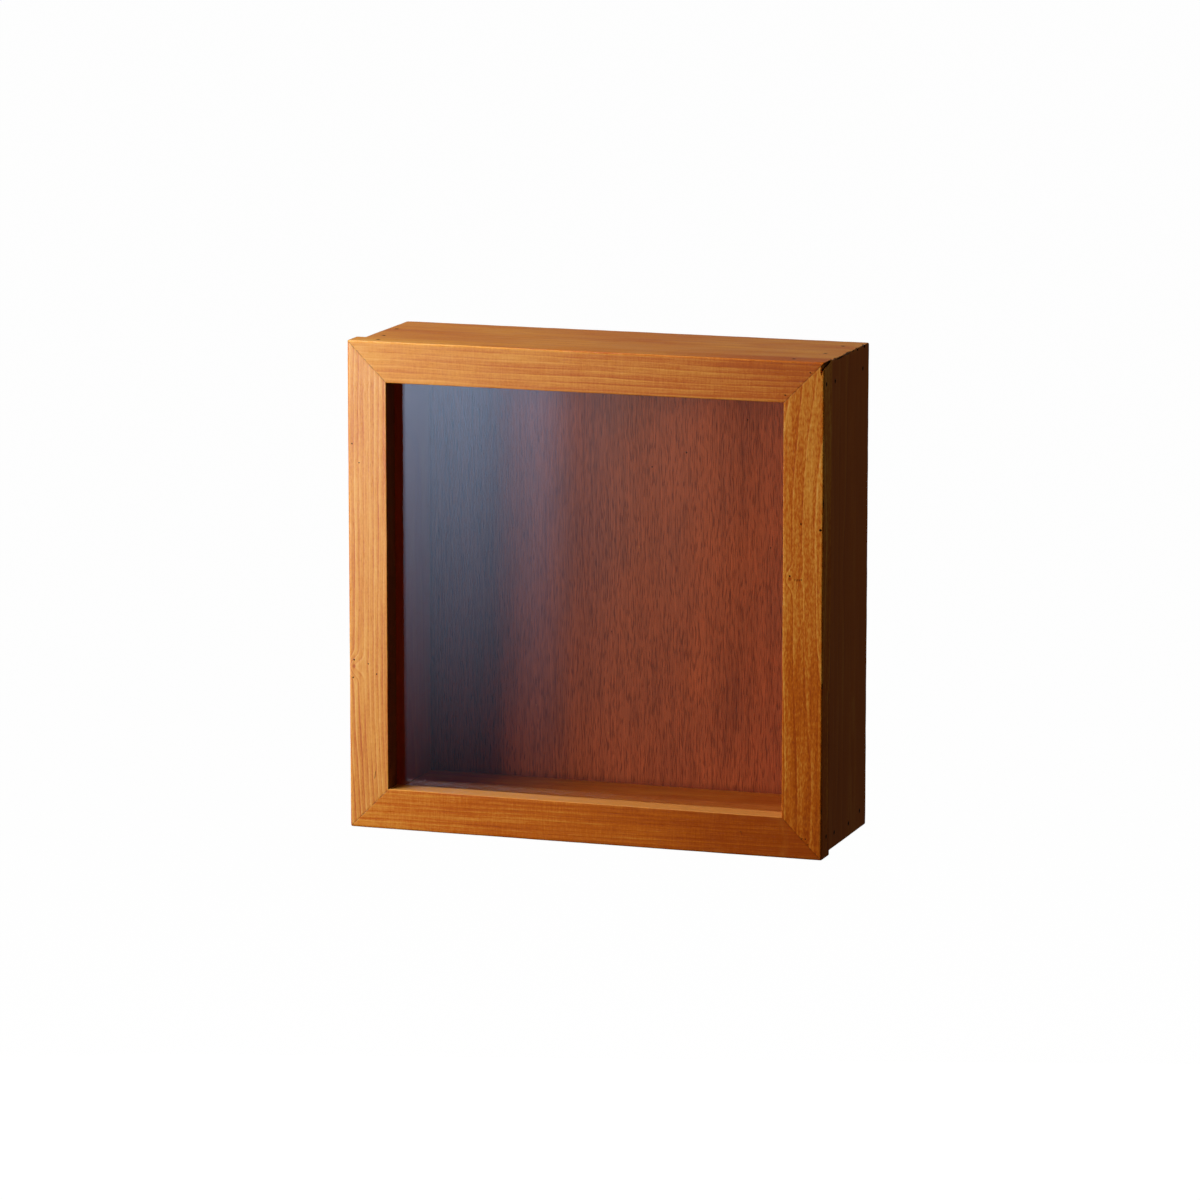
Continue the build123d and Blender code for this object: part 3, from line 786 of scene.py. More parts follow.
def timber(node, body, slot, material, marks=(), wedges=()):
    """A door or case member: its CAD solid cut into short lengths, worn at its arrises, opened a
    little along its mitres, and marked."""
    wear = bpy.context.scene.showcase_wear
    front, back, outer, inner = SECTIONS[body]
    axis, sign = SIDES[node.split("_")[1]]
    along = "x" if axis == "z" else "z"
    bm = solid_of(node)
    cut_across(bm, along, steps(-outer, outer, wear.step))
    cut_across(bm, axis, [sign * (outer - e) for e in EDGE_CUTS] + [sign * (inner + e) for e in EDGE_CUTS])
    cut_across(bm, "y", [front + e for e in EDGE_CUTS] + [back - e for e in EDGE_CUTS]
               + steps(front + EDGE_CUTS[1], back - EDGE_CUTS[1], DEPTH_STEP))
    for end in (-1, 1):
        joint = Vector((0, 0, 0))
        setattr(joint, axis, sign)
        setattr(joint, along, -end)
        joint.normalize()
        for gap in JOINT_CUTS:
            bmesh.ops.bisect_plane(
                bm, geom=bm.verts[:] + bm.edges[:] + bm.faces[:], dist=1e-7,
                plane_co=joint * gap, plane_no=joint)
    for vert in bm.verts:
        point = vert.co.copy()
        if below_skin(body, point) > SKIN:
            continue
        move = Vector((0, 0, 0))
        for arris in ARRISES[body]:
            worn = arris.wear(point, wear.arris, wear.reach)
            if worn is not None:
                move += worn
        move += mitre_opening(body, point)
        vert.co = point + move
    piece = new_piece(node + "_piece", bm, material)
    if marks or wedges:
        carve(piece, marks, wedges)
    even = piece.modifiers.new("even shading", "WEIGHTED_NORMAL")
    even.keep_sharp = True
    settled(piece)
    paint_wear_and_shading(piece, body, marks, wedges)
    hand_over(piece, body, slot, node)
    return piece


def eased(node, body, slot, material, width):
    """A CAD solid with its doubles merged and its sharp edges rounded a little."""
    bm = solid_of(node)
    bmesh.ops.dissolve_limit(bm, angle_limit=math.radians(0.5), verts=bm.verts, edges=bm.edges)
    piece = new_piece(node + "_piece", bm, material, EASED_ANGLE)
    rounding = piece.modifiers.new("eased edges", "BEVEL")
    rounding.width, rounding.segments, rounding.limit_method = width, 2, "ANGLE"
    rounding.angle_limit = math.radians(EASED_ANGLE)
    rounding.harden_normals = True
    settled(piece)
    hand_over(piece, body, slot, node)
    return piece


# ---------------------------------------------------------------- nails, brads and screws


def drives_of(node):
    """Where each nail or screw of a CAD node stands: the middle of its head, the way out of the
    wood, and its length."""
    bm = solid_of(node)
    left, found = set(bm.verts), []
    while left:
        todo, island = [left.pop()], []
        while todo:
            vert = todo.pop()
            island.append(vert.co.copy())
            for edge in vert.link_edges:
                other = edge.other_vert(vert)
                if other in left:
                    left.remove(other)
                    todo.append(other)
        low = Vector(min(c[i] for c in island) for i in range(3))
        high = Vector(max(c[i] for c in island) for i in range(3))
        size = high - low
        axis = max(range(3), key=lambda i: size[i])
        middle = (low + high) / 2

        def girth(end):
            ring = [c for c in island if abs(c[axis] - end[axis]) < size[axis] * 0.12]
            return max((c - middle - (c - middle).dot(unit) * unit).length for c in ring)

        unit = Vector([float(i == axis) for i in range(3)])
        sign = 1 if girth(high) > girth(low) else -1
        head = middle + unit * (sign * size[axis] / 2)
        found.append((head, unit * sign, size[axis]))
    bm.free()
    return sorted(found, key=lambda d: tuple(round(c, 6) for c in d[0]))


class Tree:
    """A geometry node tree, built with one call for each node."""

    def __init__(self, name, sockets):
        self.tree = bpy.data.node_groups.new(name, "GeometryNodeTree")
        face = self.tree.interface
        face.new_socket("Geometry", in_out="INPUT", socket_type="NodeSocketGeometry")
        face.new_socket("Geometry", in_out="OUTPUT", socket_type="NodeSocketGeometry")
        self.names = {}
        for label, kind in sockets:
            made = face.new_socket(label, in_out="INPUT", socket_type="NodeSocket" + kind)
            self.names[label] = made.identifier
        self.given = self.tree.nodes.new("NodeGroupInput").outputs
        self.result = self.tree.nodes.new("NodeGroupOutput").inputs[0]

    def node(self, kind, inputs=None, **settings):
        made = self.tree.nodes.new(kind)
        for name, value in settings.items():
            setattr(made, name, value)
        for name, value in (inputs or {}).items():
            self.put(value, made.inputs[name])
        return made

    def put(self, value, socket):
        if isinstance(value, bpy.types.NodeSocket):
            self.tree.links.new(value, socket)
        else:
            socket.default_value = value

    def maths(self, operation, a, b):
        return self.node("ShaderNodeMath", {0: a, 1: b}, operation=operation).outputs[0]

    def switch(self, kind, index, values):
        made = self.node("GeometryNodeIndexSwitch", data_type=kind)
        while len(made.index_switch_items) < len(values):
            made.index_switch_items.new()
        self.put(index, made.inputs[0])
        for n, value in enumerate(values):
            self.put(value, made.inputs[n + 1])
        return made.outputs[0]


DRIVEN_INPUTS = [
    ("Head Radius", "Float"), ("Head Height", "Float"), ("Rim", "Float"), ("Shank Radius", "Float"),
    ("Length", "Float"), ("Point Length", "Float"), ("Sides", "Int"), ("Cross Width", "Float"),
    ("Cross Length", "Float"), ("Cross Depth", "Float"), ("Seed", "Int"), ("Finish", "Material"),
]


TREES = {}                   # the node trees that make nails and screws, by name
NAIL_HEAD = {"Head Height": 0.9 * MM, "Rim": 0.3 * MM}
BRAD_HEAD = {"Head Height": 0.4 * MM, "Rim": 0.2 * MM}
SCREW_HEAD = {"Head Height": 0.9 * MM, "Rim": 0.2 * MM}
POINT_LENGTH = 2 * MM        # tapered point of every nail and screw
UNDER_HEAD = 0.02 * MM       # height of the step from a head to its shank


def driven_tree(name, recessed):
    """Turned nails or screws on points. The points' attribute "drive" is the way out of the wood.
    Each is a tube of eight rings, and a screw's head has a cross recess."""
    t = Tree(name, DRIVEN_INPUTS)
    g = t.given
    index = t.node("GeometryNodeInputIndex").outputs[0]
    minus = {label: t.maths("MULTIPLY", g[label], -1.0) for label in ("Rim", "Head Height", "Length")}
    under = t.maths("SUBTRACT", minus["Head Height"], UNDER_HEAD)
    heights = [0.0, t.maths("MULTIPLY", minus["Rim"], 0.25), t.maths("MULTIPLY", minus["Rim"], 0.6),
               minus["Rim"], minus["Head Height"], under,
               t.maths("ADD", minus["Length"], g["Point Length"]), minus["Length"]]
    cone = g["Shank Radius"] if recessed else g["Head Radius"]
    radii = [t.maths("MULTIPLY", g["Head Radius"], 0.80), t.maths("MULTIPLY", g["Head Radius"], 0.93),
             t.maths("MULTIPLY", g["Head Radius"], 0.99), g["Head Radius"], cone,
             g["Shank Radius"], g["Shank Radius"], t.maths("MULTIPLY", g["Shank Radius"], 0.16)]
    line = t.node("GeometryNodeMeshLine", {"Count": len(heights), "Offset": (0, 0, -UNDER_HEAD)})
    height = t.node("ShaderNodeCombineXYZ", {2: t.switch("FLOAT", index, heights)})
    placed = t.node("GeometryNodeSetPosition", {"Geometry": line.outputs[0], "Position": height.outputs[0]})
    spine = t.node("GeometryNodeMeshToCurve", {"Mesh": placed.outputs[0]})
    ring = t.node("GeometryNodeCurvePrimitiveCircle", {"Resolution": g["Sides"], "Radius": 1.0})
    tube = t.node("GeometryNodeCurveToMesh", {
        "Curve": spine.outputs[0], "Profile Curve": ring.outputs[0],
        "Scale": t.switch("FLOAT", index, radii), "Fill Caps": True})
    shape = tube.outputs[0]
    if recessed:
        bars = []
        for x, y in (("Cross Length", "Cross Width"), ("Cross Width", "Cross Length")):
            size = t.node("ShaderNodeCombineXYZ", {
                0: g[x], 1: g[y], 2: t.maths("MULTIPLY", g["Cross Depth"], 2.0)})
            bar = t.node("GeometryNodeMeshCube", {"Size": size.outputs[0]})
            bars.append(bar.outputs[0])
        cross = t.node("GeometryNodeMeshBoolean", operation="DIFFERENCE", solver="EXACT")
        t.put(shape, cross.inputs[0])
        for bar in bars:
            t.tree.links.new(bar, cross.inputs[1])
        shape = cross.outputs[0]
    way = t.node("GeometryNodeInputNamedAttribute", data_type="FLOAT_VECTOR")
    way.inputs["Name"].default_value = "drive"
    upright = t.node("FunctionNodeAlignRotationToVector", {"Vector": way.outputs[0]}, axis="Z")
    turn = t.node("FunctionNodeRandomValue", data_type="FLOAT")
    for label, value in (("Min_001", 0.0), ("Max_001", math.tau), ("Seed", g["Seed"])):
        socket = next(i for i in turn.inputs if i.identifier == label)
        t.put(value, socket)
    spin = t.node("FunctionNodeAxisAngleToRotation", {
        "Axis": (0, 0, 1), "Angle": next(o for o in turn.outputs if o.identifier == "Value_001")})
    facing = t.node("FunctionNodeRotateRotation", {
        "Rotation": upright.outputs[0], "Rotate By": spin.outputs[0]}, rotation_space="LOCAL")
    many = t.node("GeometryNodeInstanceOnPoints", {
        "Points": g["Geometry"], "Instance": shape, "Rotation": facing.outputs[0]})
    real = t.node("GeometryNodeRealizeInstances", {"Geometry": many.outputs[0]})
    dressed = t.node("GeometryNodeSetMaterial", {"Geometry": real.outputs[0], "Material": g["Finish"]})
    t.put(dressed.outputs[0], t.result)
    return t


def driven(node, body, slot, recessed, sizes):
    """The nails, brads or screws of one CAD node, made new where they stand."""
    name = "screw_maker" if recessed else "nail_maker"
    tree = TREES.get(name) or TREES.setdefault(name, driven_tree(name, recessed))
    drives = drives_of(node)
    mesh = bpy.data.meshes.new(node)
    mesh.from_pydata([head for head, _, _ in drives], [], [])
    way = mesh.attributes.new("drive", "FLOAT_VECTOR", "POINT")
    way.data.foreach_set("vector", [c for _, out, _ in drives for c in out])
    piece = bpy.data.objects.new(node + "_piece", mesh)
    bpy.context.scene.collection.objects.link(piece)
    maker = piece.modifiers.new("maker", "NODES")
    maker.node_group = tree.tree
    look = bpy.context.scene.showcase_nails
    values = {
        "Length": drives[0][2], "Point Length": POINT_LENGTH, "Sides": look.sides, "Seed": look.seed,
        "Cross Width": look.cross_width, "Cross Length": look.cross_length,
        "Cross Depth": look.cross_depth, "Finish": finish_of(slot), **sizes}
    for label, value in values.items():
        maker[tree.names[label]] = value
    settled(piece)
    bm = bmesh.new()
    bm.from_mesh(piece.data)
    bmesh.ops.recalc_face_normals(bm, faces=bm.faces)
    mark_sharp(bm, DRIVEN_SHARP_ANGLE)
    bm.to_mesh(piece.data)
    bm.free()
    hand_over(piece, body, slot, node)
    return piece


# ---------------------------------------------------------------- the pieces


# How each timber looks, with lengths in metres:
# pith, pitch, tilt    where its growth rings lie, how far apart, and their tilt in radians
# line, ripple         how strong the rings and the cross ripple are
# depth, falloff     how much darker it took the stain, partly painted light, and the painted light falloff along it
# contrast, speckle    of the finer patterns, and of short dashes
# sheen, shift         gloss, and what sets its patterns apart from the other timbers'
# bow                  how the rings bend away from a waist: amount, waist, and its two ends
# knots                place, radius, and how many rings each pulls aside
# sight shading      painted shade on the face towards the opening, and on the bottom rail painted light: where, share, and which colour
TIMBER_LOOKS = {
    "door_top_rail": dict(pith=(0, -0.080, 0.31), pitch=0.0036, tilt=(0.008, 0.0), line=0.50,
                          ripple=0.12, depth=-0.22, painted_light_falloff=0.36, sheen=0.29, shift=1.3,
                          bow=(-0.06, -0.03, 0.0, 0.20)),
    # Painted light: the bottom rail's sight face is mixed towards the palest wood, where light from above
    # falls on it.
    "door_bottom_rail": dict(pith=(0, -0.075, -0.27), pitch=0.0026, tilt=(-0.01, 0.0), line=0.26,
                             ripple=0.14, depth=0.11, painted_light_falloff=0.47, sheen=0.15, shift=4.1,
                             bow=(0.1, -0.03, 0.0, 0.20), painted_sight_shading=(SIGHT_HALF, 0.50, "palest")),
    # Painted shade: the left stile's sight face, which faces away from the light, is mixed towards a dark
    # colour.
    "door_left_stile": dict(pith=(-0.30, -0.070, 0), pitch=0.0032, tilt=(0.0, 0.010), line=0.70,
                            ripple=0.03, depth=-0.36, painted_light_falloff=-0.02, sheen=0.52, shift=7.7,
                            bow=(1.4, -0.045, -0.11, 0.0), contrast=1.3,
                            painted_sight_shading=(SIGHT_HALF, 0.85, "grime"),
                            knots=[((-0.1468, FRONT_Y, -0.0500), 0.0016, 1.8)]),
    "door_right_stile": dict(pith=(0.088, -0.058, 0.0), pitch=0.0060, tilt=(0.0, -0.008), line=0.75,
                             ripple=0.02, depth=-0.04, painted_light_falloff=-0.24, sheen=0.12, shift=2.9,
                             bow=(0.65, 0.02, -0.075, 0.20), contrast=1.15, speckle=0.62,
                             knots=[((0.1294, FRONT_Y, 0.0198), 0.0016, 0.7)]),
    "case_top_board": dict(pith=(0, -0.035, 0.02), pitch=0.0068, tilt=(0.01, 0.03), line=0.26,
                           depth=-0.25, shift=5.5),
    "case_bottom_board": dict(pith=(0, -0.05, -0.02), pitch=0.0060, tilt=(0.02, 0.02), line=0.30,
                              depth=-0.15, shift=8.2),
    # Painted shade: the inner face of the case's left board is mixed towards a dark colour.
    "case_left_board": dict(pith=(-0.03, -0.045, 0), pitch=0.0056, tilt=(0.015, 0.02), line=0.34,
                            shift=3.4, painted_sight_shading=(INNER_HALF, 0.5, "grime")),
    "case_right_board": dict(pith=(0.26, -0.02, 0), pitch=0.0048, tilt=(0.012, 0.01), line=0.36,
                             depth=0.06, contrast=0.6, sheen=0.4, shift=6.1),
}

# Marks on the front of the door, in millimetres: place, and radii of each
DOOR_MARKS = {
    "left": [Mark((-146.8, -100.1, -46.0), (0.55, 0.9, 0.6)), Mark((-147.5, -100.1, -57.0), (0.5, 0.9, 0.6)),
             Mark((-137.6, -100.1, -48.0), (0.45, 0.6, 0.5)), Mark((-132.2, -100.1, -54.0), (0.4, 0.6, 0.5)),
             Mark((-133.6, -100.05, -116.5), (0.16, 0.45, 3.2), (0, 8, 0)),
             Mark((-147.2, -100.1, 87.0), (0.5, 0.7, 0.5)), Mark((-142.7, -100.1, 75.5), (0.4, 0.6, 0.45))],
    "right": [Mark((129.4, -100.1, 21.4), (0.8, 0.7, 0.5)), Mark((132.6, -100.1, 19.3), (0.22, 0.5, 0.8)),
              Mark((133.9, -100.1, 19.1), (0.22, 0.5, 0.8)), Mark((135.2, -100.1, 19.3), (0.22, 0.5, 0.8)),
              Mark((136.5, -100.1, 19.5), (0.25, 0.5, 0.7)), Mark((148.2, -100.0, 49.9), (0.8, 0.7, 0.8)),
              Mark((136.1, -100.1, 53.1), (0.4, 0.6, 1.0)), Mark((149.8, -99.8, -44.0), (0.5, 0.6, 1.6)),
              Mark((149.9, -99.6, 66.0), (0.4, 0.7, 1.2)), Mark((149.9, -99.7, -120.5), (0.5, 0.6, 0.9)),
              Mark((137.9, -100.1, -137.2), (0.4, 0.6, 0.5)),
              Mark((140.0, -100.1, -137.4), (0.35, 0.6, 0.45)),
              Mark((141.6, -100.1, -140.6), (0.45, 0.6, 0.35))],
    "top": [Mark((126.0, -100.1, 129.5), (0.8, 0.6, 0.35), (0, 20, 0)),
            Mark((141.5, -100.0, 143.5), (0.9, 0.5, 0.3), (0, 40, 0))],
    "bottom": [Mark((100.0, -100.1, -136.5), (0.12, 0.35, 2.6), (0, -25, 0))],
}
# The split at the top of the right stile: its outline at the front, its outline where it ends
# behind, and the depths of the two
CORNER_SPLIT = (
    [(147.2, 152.0), (147.5, 147.0), (147.3, 144.2), (147.9, 141.2), (148.9, 144.0), (149.4, 145.4),
     (152.0, 146.4), (152.0, 152.0)],
    [(148.9, 152.0), (149.0, 149.2), (148.9, 148.8), (149.1, 148.4), (149.4, 148.6), (149.7, 148.7),
     (152.0, 148.9), (152.0, 152.0)],
    -101.0, -87.0)
CASE_MARKS = {
    "right": [Mark((148.6, -62.0, 147.6), (0.7, 9.0, 0.5)), Mark((148.6, -45.0, 147.9), (0.7, 6.0, 0.6)),
              Mark((148.5, -25.0, 147.8), (1.0, 1.6, 1.1)), Mark((148.5, -10.5, 147.8), (1.1, 1.8, 1.1)),
              Mark((148.6, -34.0, 147.9), (0.6, 2.2, 0.5))],
    "top": [Mark((147.6, -70.0, 148.7), (0.7, 3.4, 0.6)), Mark((147.8, -44.0, 148.7), (0.7, 4.5, 0.7)),
            Mark((147.8, -25.0, 148.7), (0.9, 1.7, 0.8)), Mark((147.7, -10.5, 148.7), (1.0, 1.9, 0.9))],
}
PANEL_MARKS = [Mark((34.0, -3.1, 76.0), (0.6, 0.8, 0.6)), Mark((12.0, -3.1, 66.0), (0.5, 0.8, 0.5)),
               Mark((73.0, -3.1, 98.0), (0.4, 0.7, 0.6)), Mark((-14.0, -3.1, -38.0), (0.4, 0.6, 0.4)),
               Mark((88.0, -3.1, 20.0), (0.35, 0.6, 0.5))]


class SHOWCASE_OT_door_frame(bpy.types.Operator):
    """Make the two rails and two stiles of the door"""

    bl_idname = "showcase.door_frame"
    bl_label = "Door frame"

    def execute(self, context):
        for side in SIDES:
            node = f"door_{side}_{'rail' if side in ('top', 'bottom') else 'stile'}"
            wood = softwood(node + "_wood", "x" if side in ("top", "bottom") else "z",
                            nails=heads_in(node, "door"), **TIMBER_LOOKS[node])
            wedges = [CORNER_SPLIT] if side == "right" else []
            timber(node, "door", "frame_wood", wood, DOOR_MARKS[side], wedges)
        return {"FINISHED"}


class SHOWCASE_OT_case_boards(bpy.types.Operator):
    """Make the four boards of the case"""

    bl_idname = "showcase.case_boards"
    bl_label = "Case boards"

    def execute(self, context):
        for side in SIDES:
            node = f"case_{side}_board"
            wood = softwood(node + "_wood", "x" if side in ("top", "bottom") else "z",
                            nails=heads_in(node, "case"), **TIMBER_LOOKS[node])
            timber(node, "case", "case_wood", wood, CASE_MARKS.get(side, []))
        return {"FINISHED"}


class SHOWCASE_OT_back_panel(bpy.types.Operator):
    """Make the plywood back"""

    bl_idname = "showcase.back_panel"
    bl_label = "Plywood back"

    def execute(self, context):
        bm = solid_of("back_panel")
        piece = new_piece("back_panel_piece", bm, plywood("lauan_plywood"))
        carve(piece, PANEL_MARKS)
        mesh = piece.data
        # Grime and painted shade: the insides of the pits in the plywood are marked to be darkened.
        grime = [float(any(m.covers(v.co) < MARK_EDGE for m in PANEL_MARKS) and v.co.y > PANEL_Y + 0.05 * MM)
                 for v in mesh.vertices]
        mesh.attributes.new("grime", "FLOAT", "POINT").data.foreach_set("value", grime)
        hand_over(piece, "case", "back_plywood", "back_panel")
        return {"FINISHED"}


class SHOWCASE_OT_pane(bpy.types.Operator):
    """Make the glass pane"""

    bl_idname = "showcase.pane"
    bl_label = "Glass pane"

    def execute(self, context):
        look = context.scene.showcase_glass
        eased("glass_pane", "door", "glass", clear_glass("clear_glass"), look.easing)
        return {"FINISHED"}


class SHOWCASE_OT_beads(bpy.types.Operator):
    """Make the beads that hold the pane from behind"""

    bl_idname = "showcase.beads"
    bl_label = "Glass beads"

    def execute(self, context):
        for n, side in enumerate(SIDES):
            along = "x" if side in ("top", "bottom") else "z"
            node = "glass_bead_" + side
            wood = softwood(node + "_wood", along, pith=(0.21, -0.02, 0.24), pitch=0.0032, line=0.3,
                            depth=0.06, shift=9.0 + n)
            eased(node, "door", "bead_wood", wood, 0.15 * MM)
        return {"FINISHED"}


class SHOWCASE_OT_nails(bpy.types.Operator):
    """Drive the corner nails and the brads"""

    bl_idname = "showcase.nails"
    bl_label = "Nails and brads"

    def execute(self, context):
        look = context.scene.showcase_nails
        nail = {"Head Radius": look.nail_head, "Shank Radius": look.nail_shank, **NAIL_HEAD}
        brad = {"Head Radius": look.nail_head, "Shank Radius": look.brad_shank, **BRAD_HEAD}
        driven("case_corner_nails", "case", "nail_steel", False, nail)
        driven("door_corner_nails", "door", "nail_steel", False, nail)
        driven("back_panel_brads", "case", "nail_steel", False, brad)
        driven("glass_bead_brads", "door", "brass_screw", False, brad)
        return {"FINISHED"}


class SHOWCASE_OT_screws(bpy.types.Operator):
    """Drive the screws of the hinges, catches and hangers"""

    bl_idname = "showcase.screws"
    bl_label = "Screws"

    def execute(self, context):
        look = context.scene.showcase_nails
        screw = {"Head Radius": look.screw_head, "Shank Radius": look.screw_shank, **SCREW_HEAD}
        for node, body, slot in (
                ("hinge_case_screws", "case", "brass_screw"), ("hinge_door_screws", "door", "brass_screw"),
                ("catch_magnet_screws", "case", "plated_steel"),
                ("catch_strike_screws", "door", "plated_steel"), ("hanger_screws", "case", "plated_steel")):
            driven(node, body, slot, True, screw)
        return {"FINISHED"}


class SHOWCASE_OT_hinges(bpy.types.Operator):
    """Make the leaves and pins of the two hinges"""

    bl_idname = "showcase.hinges"
    bl_label = "Hinges"

    def execute(self, context):
        easing = context.scene.showcase_metal.easing
        for which in ("upper", "lower"):
            for part, body in (("case_leaf", "case"), ("door_leaf", "door"), ("pin", "case")):
                eased(f"{which}_hinge_{part}", body, "hinge_brass", finish_of("hinge_brass"), easing)
        return {"FINISHED"}


class SHOWCASE_OT_catches(bpy.types.Operator):
    """Make the magnets and steel discs of the catches"""

    bl_idname = "showcase.catches"
    bl_label = "Magnetic catches"

    def execute(self, context):
        easing = context.scene.showcase_metal.easing
        eased("catch_magnets", "case", "nickel_magnet", finish_of("nickel_magnet"), easing * 1.6)
        eased("catch_strike_discs", "door", "plated_steel", finish_of("plated_steel"), easing)
        return {"FINISHED"}


class SHOWCASE_OT_hangers(bpy.types.Operator):
    """Make the two keyhole hanger plates"""

    bl_idname = "showcase.hangers"
    bl_label = "Keyhole hangers"

    def execute(self, context):
        easing = context.scene.showcase_metal.easing
        for side in ("left", "right"):
            eased("keyhole_hanger_" + side, "case", "plated_steel", finish_of("plated_steel"), easing)
        return {"FINISHED"}


# ---------------------------------------------------------------- the stage


def area_light(name, place, aim, size, power, colour):
    light = bpy.data.lights.new(name, "AREA")
    light.shape, light.size, light.size_y = "RECTANGLE", size[0], size[1]
    light.energy, light.color = power, colour
    lamp = bpy.data.objects.new(name, light)
    lamp.location = place
    lamp.rotation_euler = (Vector(aim) - Vector(place)).to_track_quat("-Z", "Y").to_euler()
    bpy.context.scene.collection.objects.link(lamp)
    return lamp


def staged_plane(name, centre, u, v, material):
    """A rectangle of the stage, from its centre and its two half sides."""
    centre, u, v = Vector(centre), Vector(u), Vector(v)
    mesh = bpy.data.meshes.new(name)
    mesh.from_pydata([centre + a * u + b * v for a, b in ((-1, -1), (1, -1), (1, 1), (-1, 1))],
                     [], [(0, 1, 2, 3)])
    mesh.materials.append(material)
    plane = bpy.data.objects.new(name, mesh)
    bpy.context.scene.collection.objects.link(plane)
    return plane


def only_seen_by(piece, *rays):
    """Leaves a stage piece visible to these kinds of ray only."""
    for ray in ("camera", "diffuse", "glossy", "transmission", "volume_scatter", "shadow"):
        setattr(piece, "visible_" + ray, ray in rays)


CAMERA_AIM = Vector((-0.0059, -0.050, -0.0096))
# Each lamp: its place, its aim, its size, its colour, and whether the object mirrors it
LAMPS = {
    "key": ((-0.64, -0.72, 0.13), (-0.02, -0.08, 0.0), (0.62, 0.45), (1.0, 0.97, 0.93), False),
    "top": ((-0.62, -0.25, 1.05), (-0.02, -0.06, 0.12), (0.52, 0.50), (1.0, 0.98, 0.95), True),
    "side": ((1.40, 0.50, 0.60), (0.15, -0.03, 0.0), (0.5, 0.5), (1.0, 0.96, 0.90), True),
    "rear": ((-0.35, 1.20, -0.45), (0, 0, 0), (0.9, 0.9), (1.0, 0.98, 0.95), False),
}


def emitter(name, colour, strength):
    """A material that only shines."""
    face = Shader(name)
    glow = face.node("ShaderNodeEmission", {"Color": colour, "Strength": strength})
    face.put(glow.outputs[0], face.output.inputs["Surface"])
    return face.material


def softbox_face(strength):
    """The lamp face that the glass mirrors: pale and blue at its left, fading to the right and down."""
    card = Shader("softbox_face")
    share = card.span(card.part("x"), -0.10, -0.90)
    side = card.ramp(share, [
        (0.0, 0.0), (0.18, 0.010), (0.2825, 0.042), (0.35, 0.080), (0.4125, 0.26), (0.48, 0.37),
        (0.60, 0.40), (0.80, 0.90)], "EASE")
    tint = card.ramp(share, [
        (0.18, (0.95, 0.92, 0.78)), (0.30, (0.85, 0.92, 0.95)), (0.39, (0.54, 0.70, 1.0)),
        (0.60, (0.54, 0.70, 1.0)), (0.75, (0.72, 0.92, 1.0))])
    height = card.maths("POWER", card.span(card.part("z"), -0.46, 0.10), 1.95)
    glow = card.node("ShaderNodeEmission", {
        "Color": tint, "Strength": card.maths("MULTIPLY", card.maths("MULTIPLY", side, height), strength)})
    card.put(glow.outputs[0], card.output.inputs["Surface"])
    return card.material


def pale_floor():
    floor = Shader("pale_floor")
    glow = floor.node("ShaderNodeEmission", {"Color": (1, 1, 1), "Strength": 1.05})
    paper = floor.node("ShaderNodeBsdfDiffuse", {"Color": (0.9, 0.9, 0.9)})
    both = floor.node("ShaderNodeMixShader", {0: 0.06, 1: glow.outputs[0], 2: paper.outputs[0]})
    floor.put(both.outputs[0], floor.output.inputs["Surface"])
    return floor.material


def room(ambient):
    """A world that is white to the camera and dim and warm to everything else."""
    world = bpy.data.worlds.new("studio")
    world.use_nodes = True
    tree = world.node_tree
    tree.nodes.clear()
    seen, dim = (tree.nodes.new("ShaderNodeBackground") for _ in range(2))
    seen.inputs[0].default_value = (1, 1, 1, 1)
    dim.inputs[0].default_value = (1.0, 0.90, 0.72, 1)
    dim.inputs[1].default_value = ambient
    ray = tree.nodes.new("ShaderNodeLightPath")
    pick = tree.nodes.new("ShaderNodeMixShader")
    out = tree.nodes.new("ShaderNodeOutputWorld")
    for source, target in ((ray.outputs["Is Camera Ray"], pick.inputs[0]),
                           (dim.outputs[0], pick.inputs[1]), (seen.outputs[0], pick.inputs[2]),
                           (pick.outputs[0], out.inputs[0])):
        tree.links.new(source, target)
    return world


def studio_camera(look):
    camera = bpy.data.cameras.new("camera")
    camera.lens, camera.sensor_width = look.lens, 36
    camera.clip_end = 100
    eye = bpy.data.objects.new("camera", camera)
    flat = math.cos(look.elevation)
    back = Vector((math.sin(look.azimuth) * flat, -math.cos(look.azimuth) * flat, math.sin(look.elevation)))
    eye.location = CAMERA_AIM + back * look.distance
    eye.rotation_euler = (-back).to_track_quat("-Z", "Y").to_euler()
    bpy.context.scene.collection.objects.link(eye)
    return eye


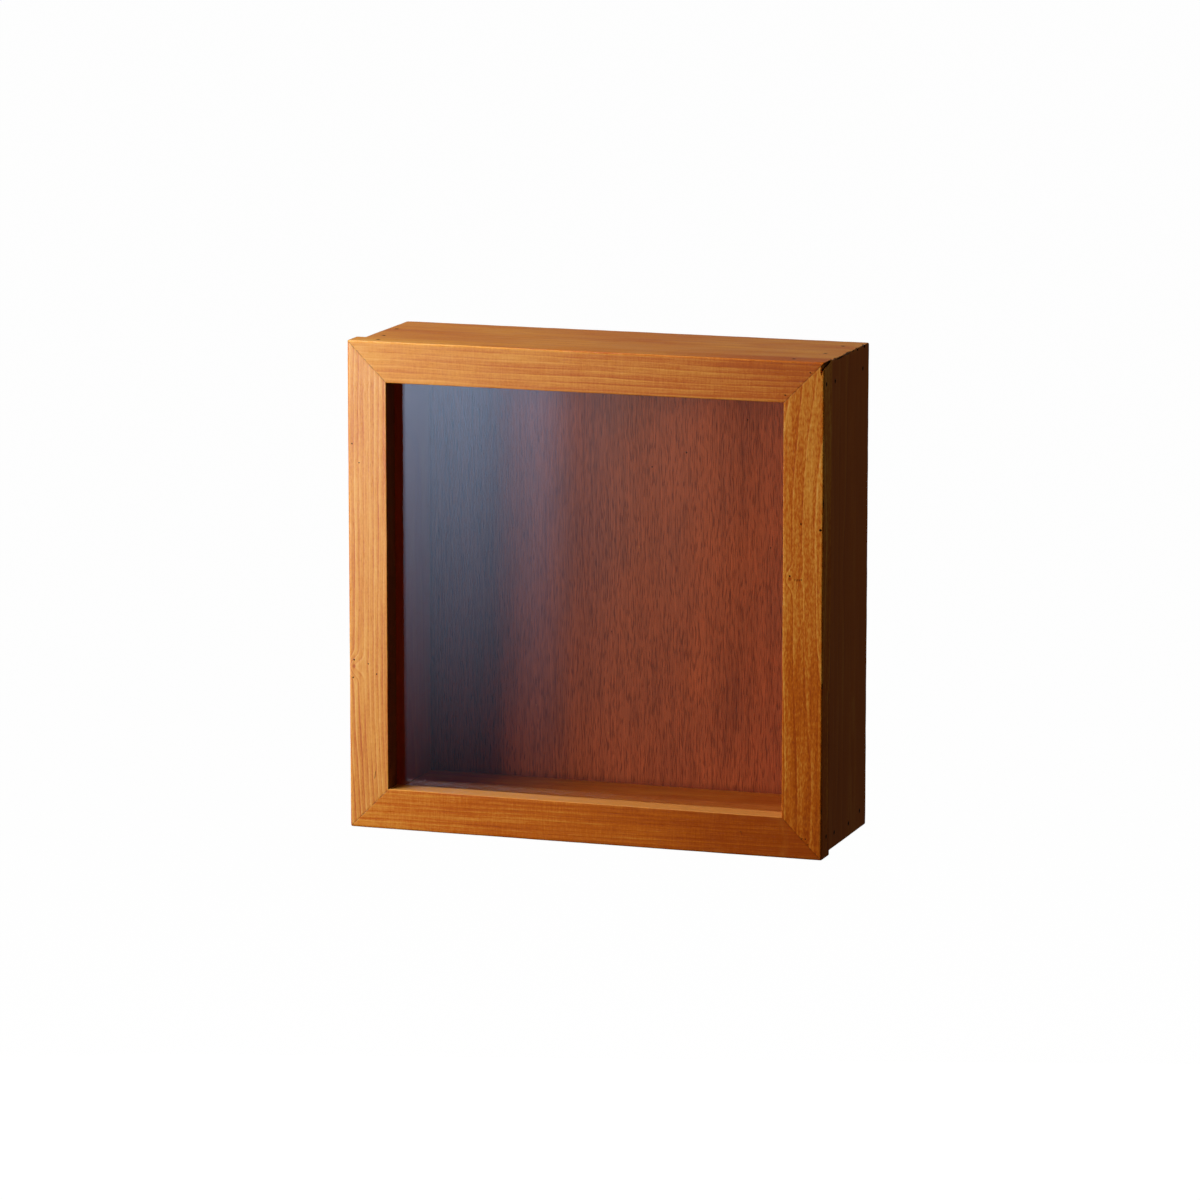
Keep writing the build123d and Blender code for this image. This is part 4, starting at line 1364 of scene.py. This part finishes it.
class SHOWCASE_OT_stage(bpy.types.Operator):
    """Set up the floor, the lights and the camera"""

    bl_idname = "showcase.stage"
    bl_label = "Studio"

    def execute(self, context):
        look = context.scene.showcase_studio
        scene = context.scene
        scene.view_settings.view_transform = "Standard"
        ground = staged_plane("floor", (0, 0, look.floor_z), (60, 0, 0), (0, 60, 0), pale_floor())
        only_seen_by(ground, "camera")
        softbox = staged_plane("softbox", (-0.77, -1.20, -0.13), (0.67, 0, 0), (0, 0, 0.34),
                               softbox_face(look.softbox))
        only_seen_by(softbox, "glossy")
        behind = staged_plane("rear_card", (-0.55, 1.50, 0.55), (0.75, 0, 0), (0, 0, 0.45),
                              emitter("pale_card", (1.0, 0.98, 0.94), look.card))
        only_seen_by(behind, "glossy")
        for name, (place, aim, size, colour, mirrored) in LAMPS.items():
            lamp = area_light(name + "_light", place, aim, size, getattr(look, name), colour)
            lamp.visible_glossy = mirrored
        scene.world = room(look.ambient)
        scene.camera = studio_camera(look)
        return {"FINISHED"}


# ---------------------------------------------------------------- panel and registration


OPERATORS = (
    SHOWCASE_OT_stage, SHOWCASE_OT_door_frame, SHOWCASE_OT_case_boards, SHOWCASE_OT_back_panel,
    SHOWCASE_OT_pane, SHOWCASE_OT_beads, SHOWCASE_OT_nails, SHOWCASE_OT_screws,
    SHOWCASE_OT_hinges, SHOWCASE_OT_catches, SHOWCASE_OT_hangers,
)
SETTINGS = {
    "showcase_stain": StainSettings, "showcase_wear": WearSettings, "showcase_nails": NailSettings,
    "showcase_metal": MetalSettings, "showcase_glass": GlassSettings, "showcase_studio": StudioSettings,
}


class SHOWCASE_PT_panel(bpy.types.Panel):
    """Lists the pieces of the showcase"""

    bl_idname = "SHOWCASE_PT_panel"
    bl_label = "Wall mounted showcase"
    bl_space_type = "VIEW_3D"
    bl_region_type = "UI"
    bl_category = "Showcase"

    def draw(self, context):
        for operator in OPERATORS:
            self.layout.operator(operator.bl_idname)
        for name, group in SETTINGS.items():
            box = self.layout.box()
            box.label(text=group.__doc__)
            for label in group.__annotations__:
                box.prop(getattr(context.scene, name), label)


def register():
    for group in SETTINGS.values():
        bpy.utils.register_class(group)
    for name, group in SETTINGS.items():
        setattr(bpy.types.Scene, name, PointerProperty(type=group))
    for made in (*OPERATORS, SHOWCASE_PT_panel):
        bpy.utils.register_class(made)


def unregister():
    for made in (SHOWCASE_PT_panel, *reversed(OPERATORS)):
        bpy.utils.unregister_class(made)
    for name in SETTINGS:
        delattr(bpy.types.Scene, name)
    for group in SETTINGS.values():
        bpy.utils.unregister_class(group)


def main():
    register()
    for operator in OPERATORS:
        group, name = operator.bl_idname.split(".")
        getattr(getattr(bpy.ops, group), name)()


if __name__ == "__main__":
    main()
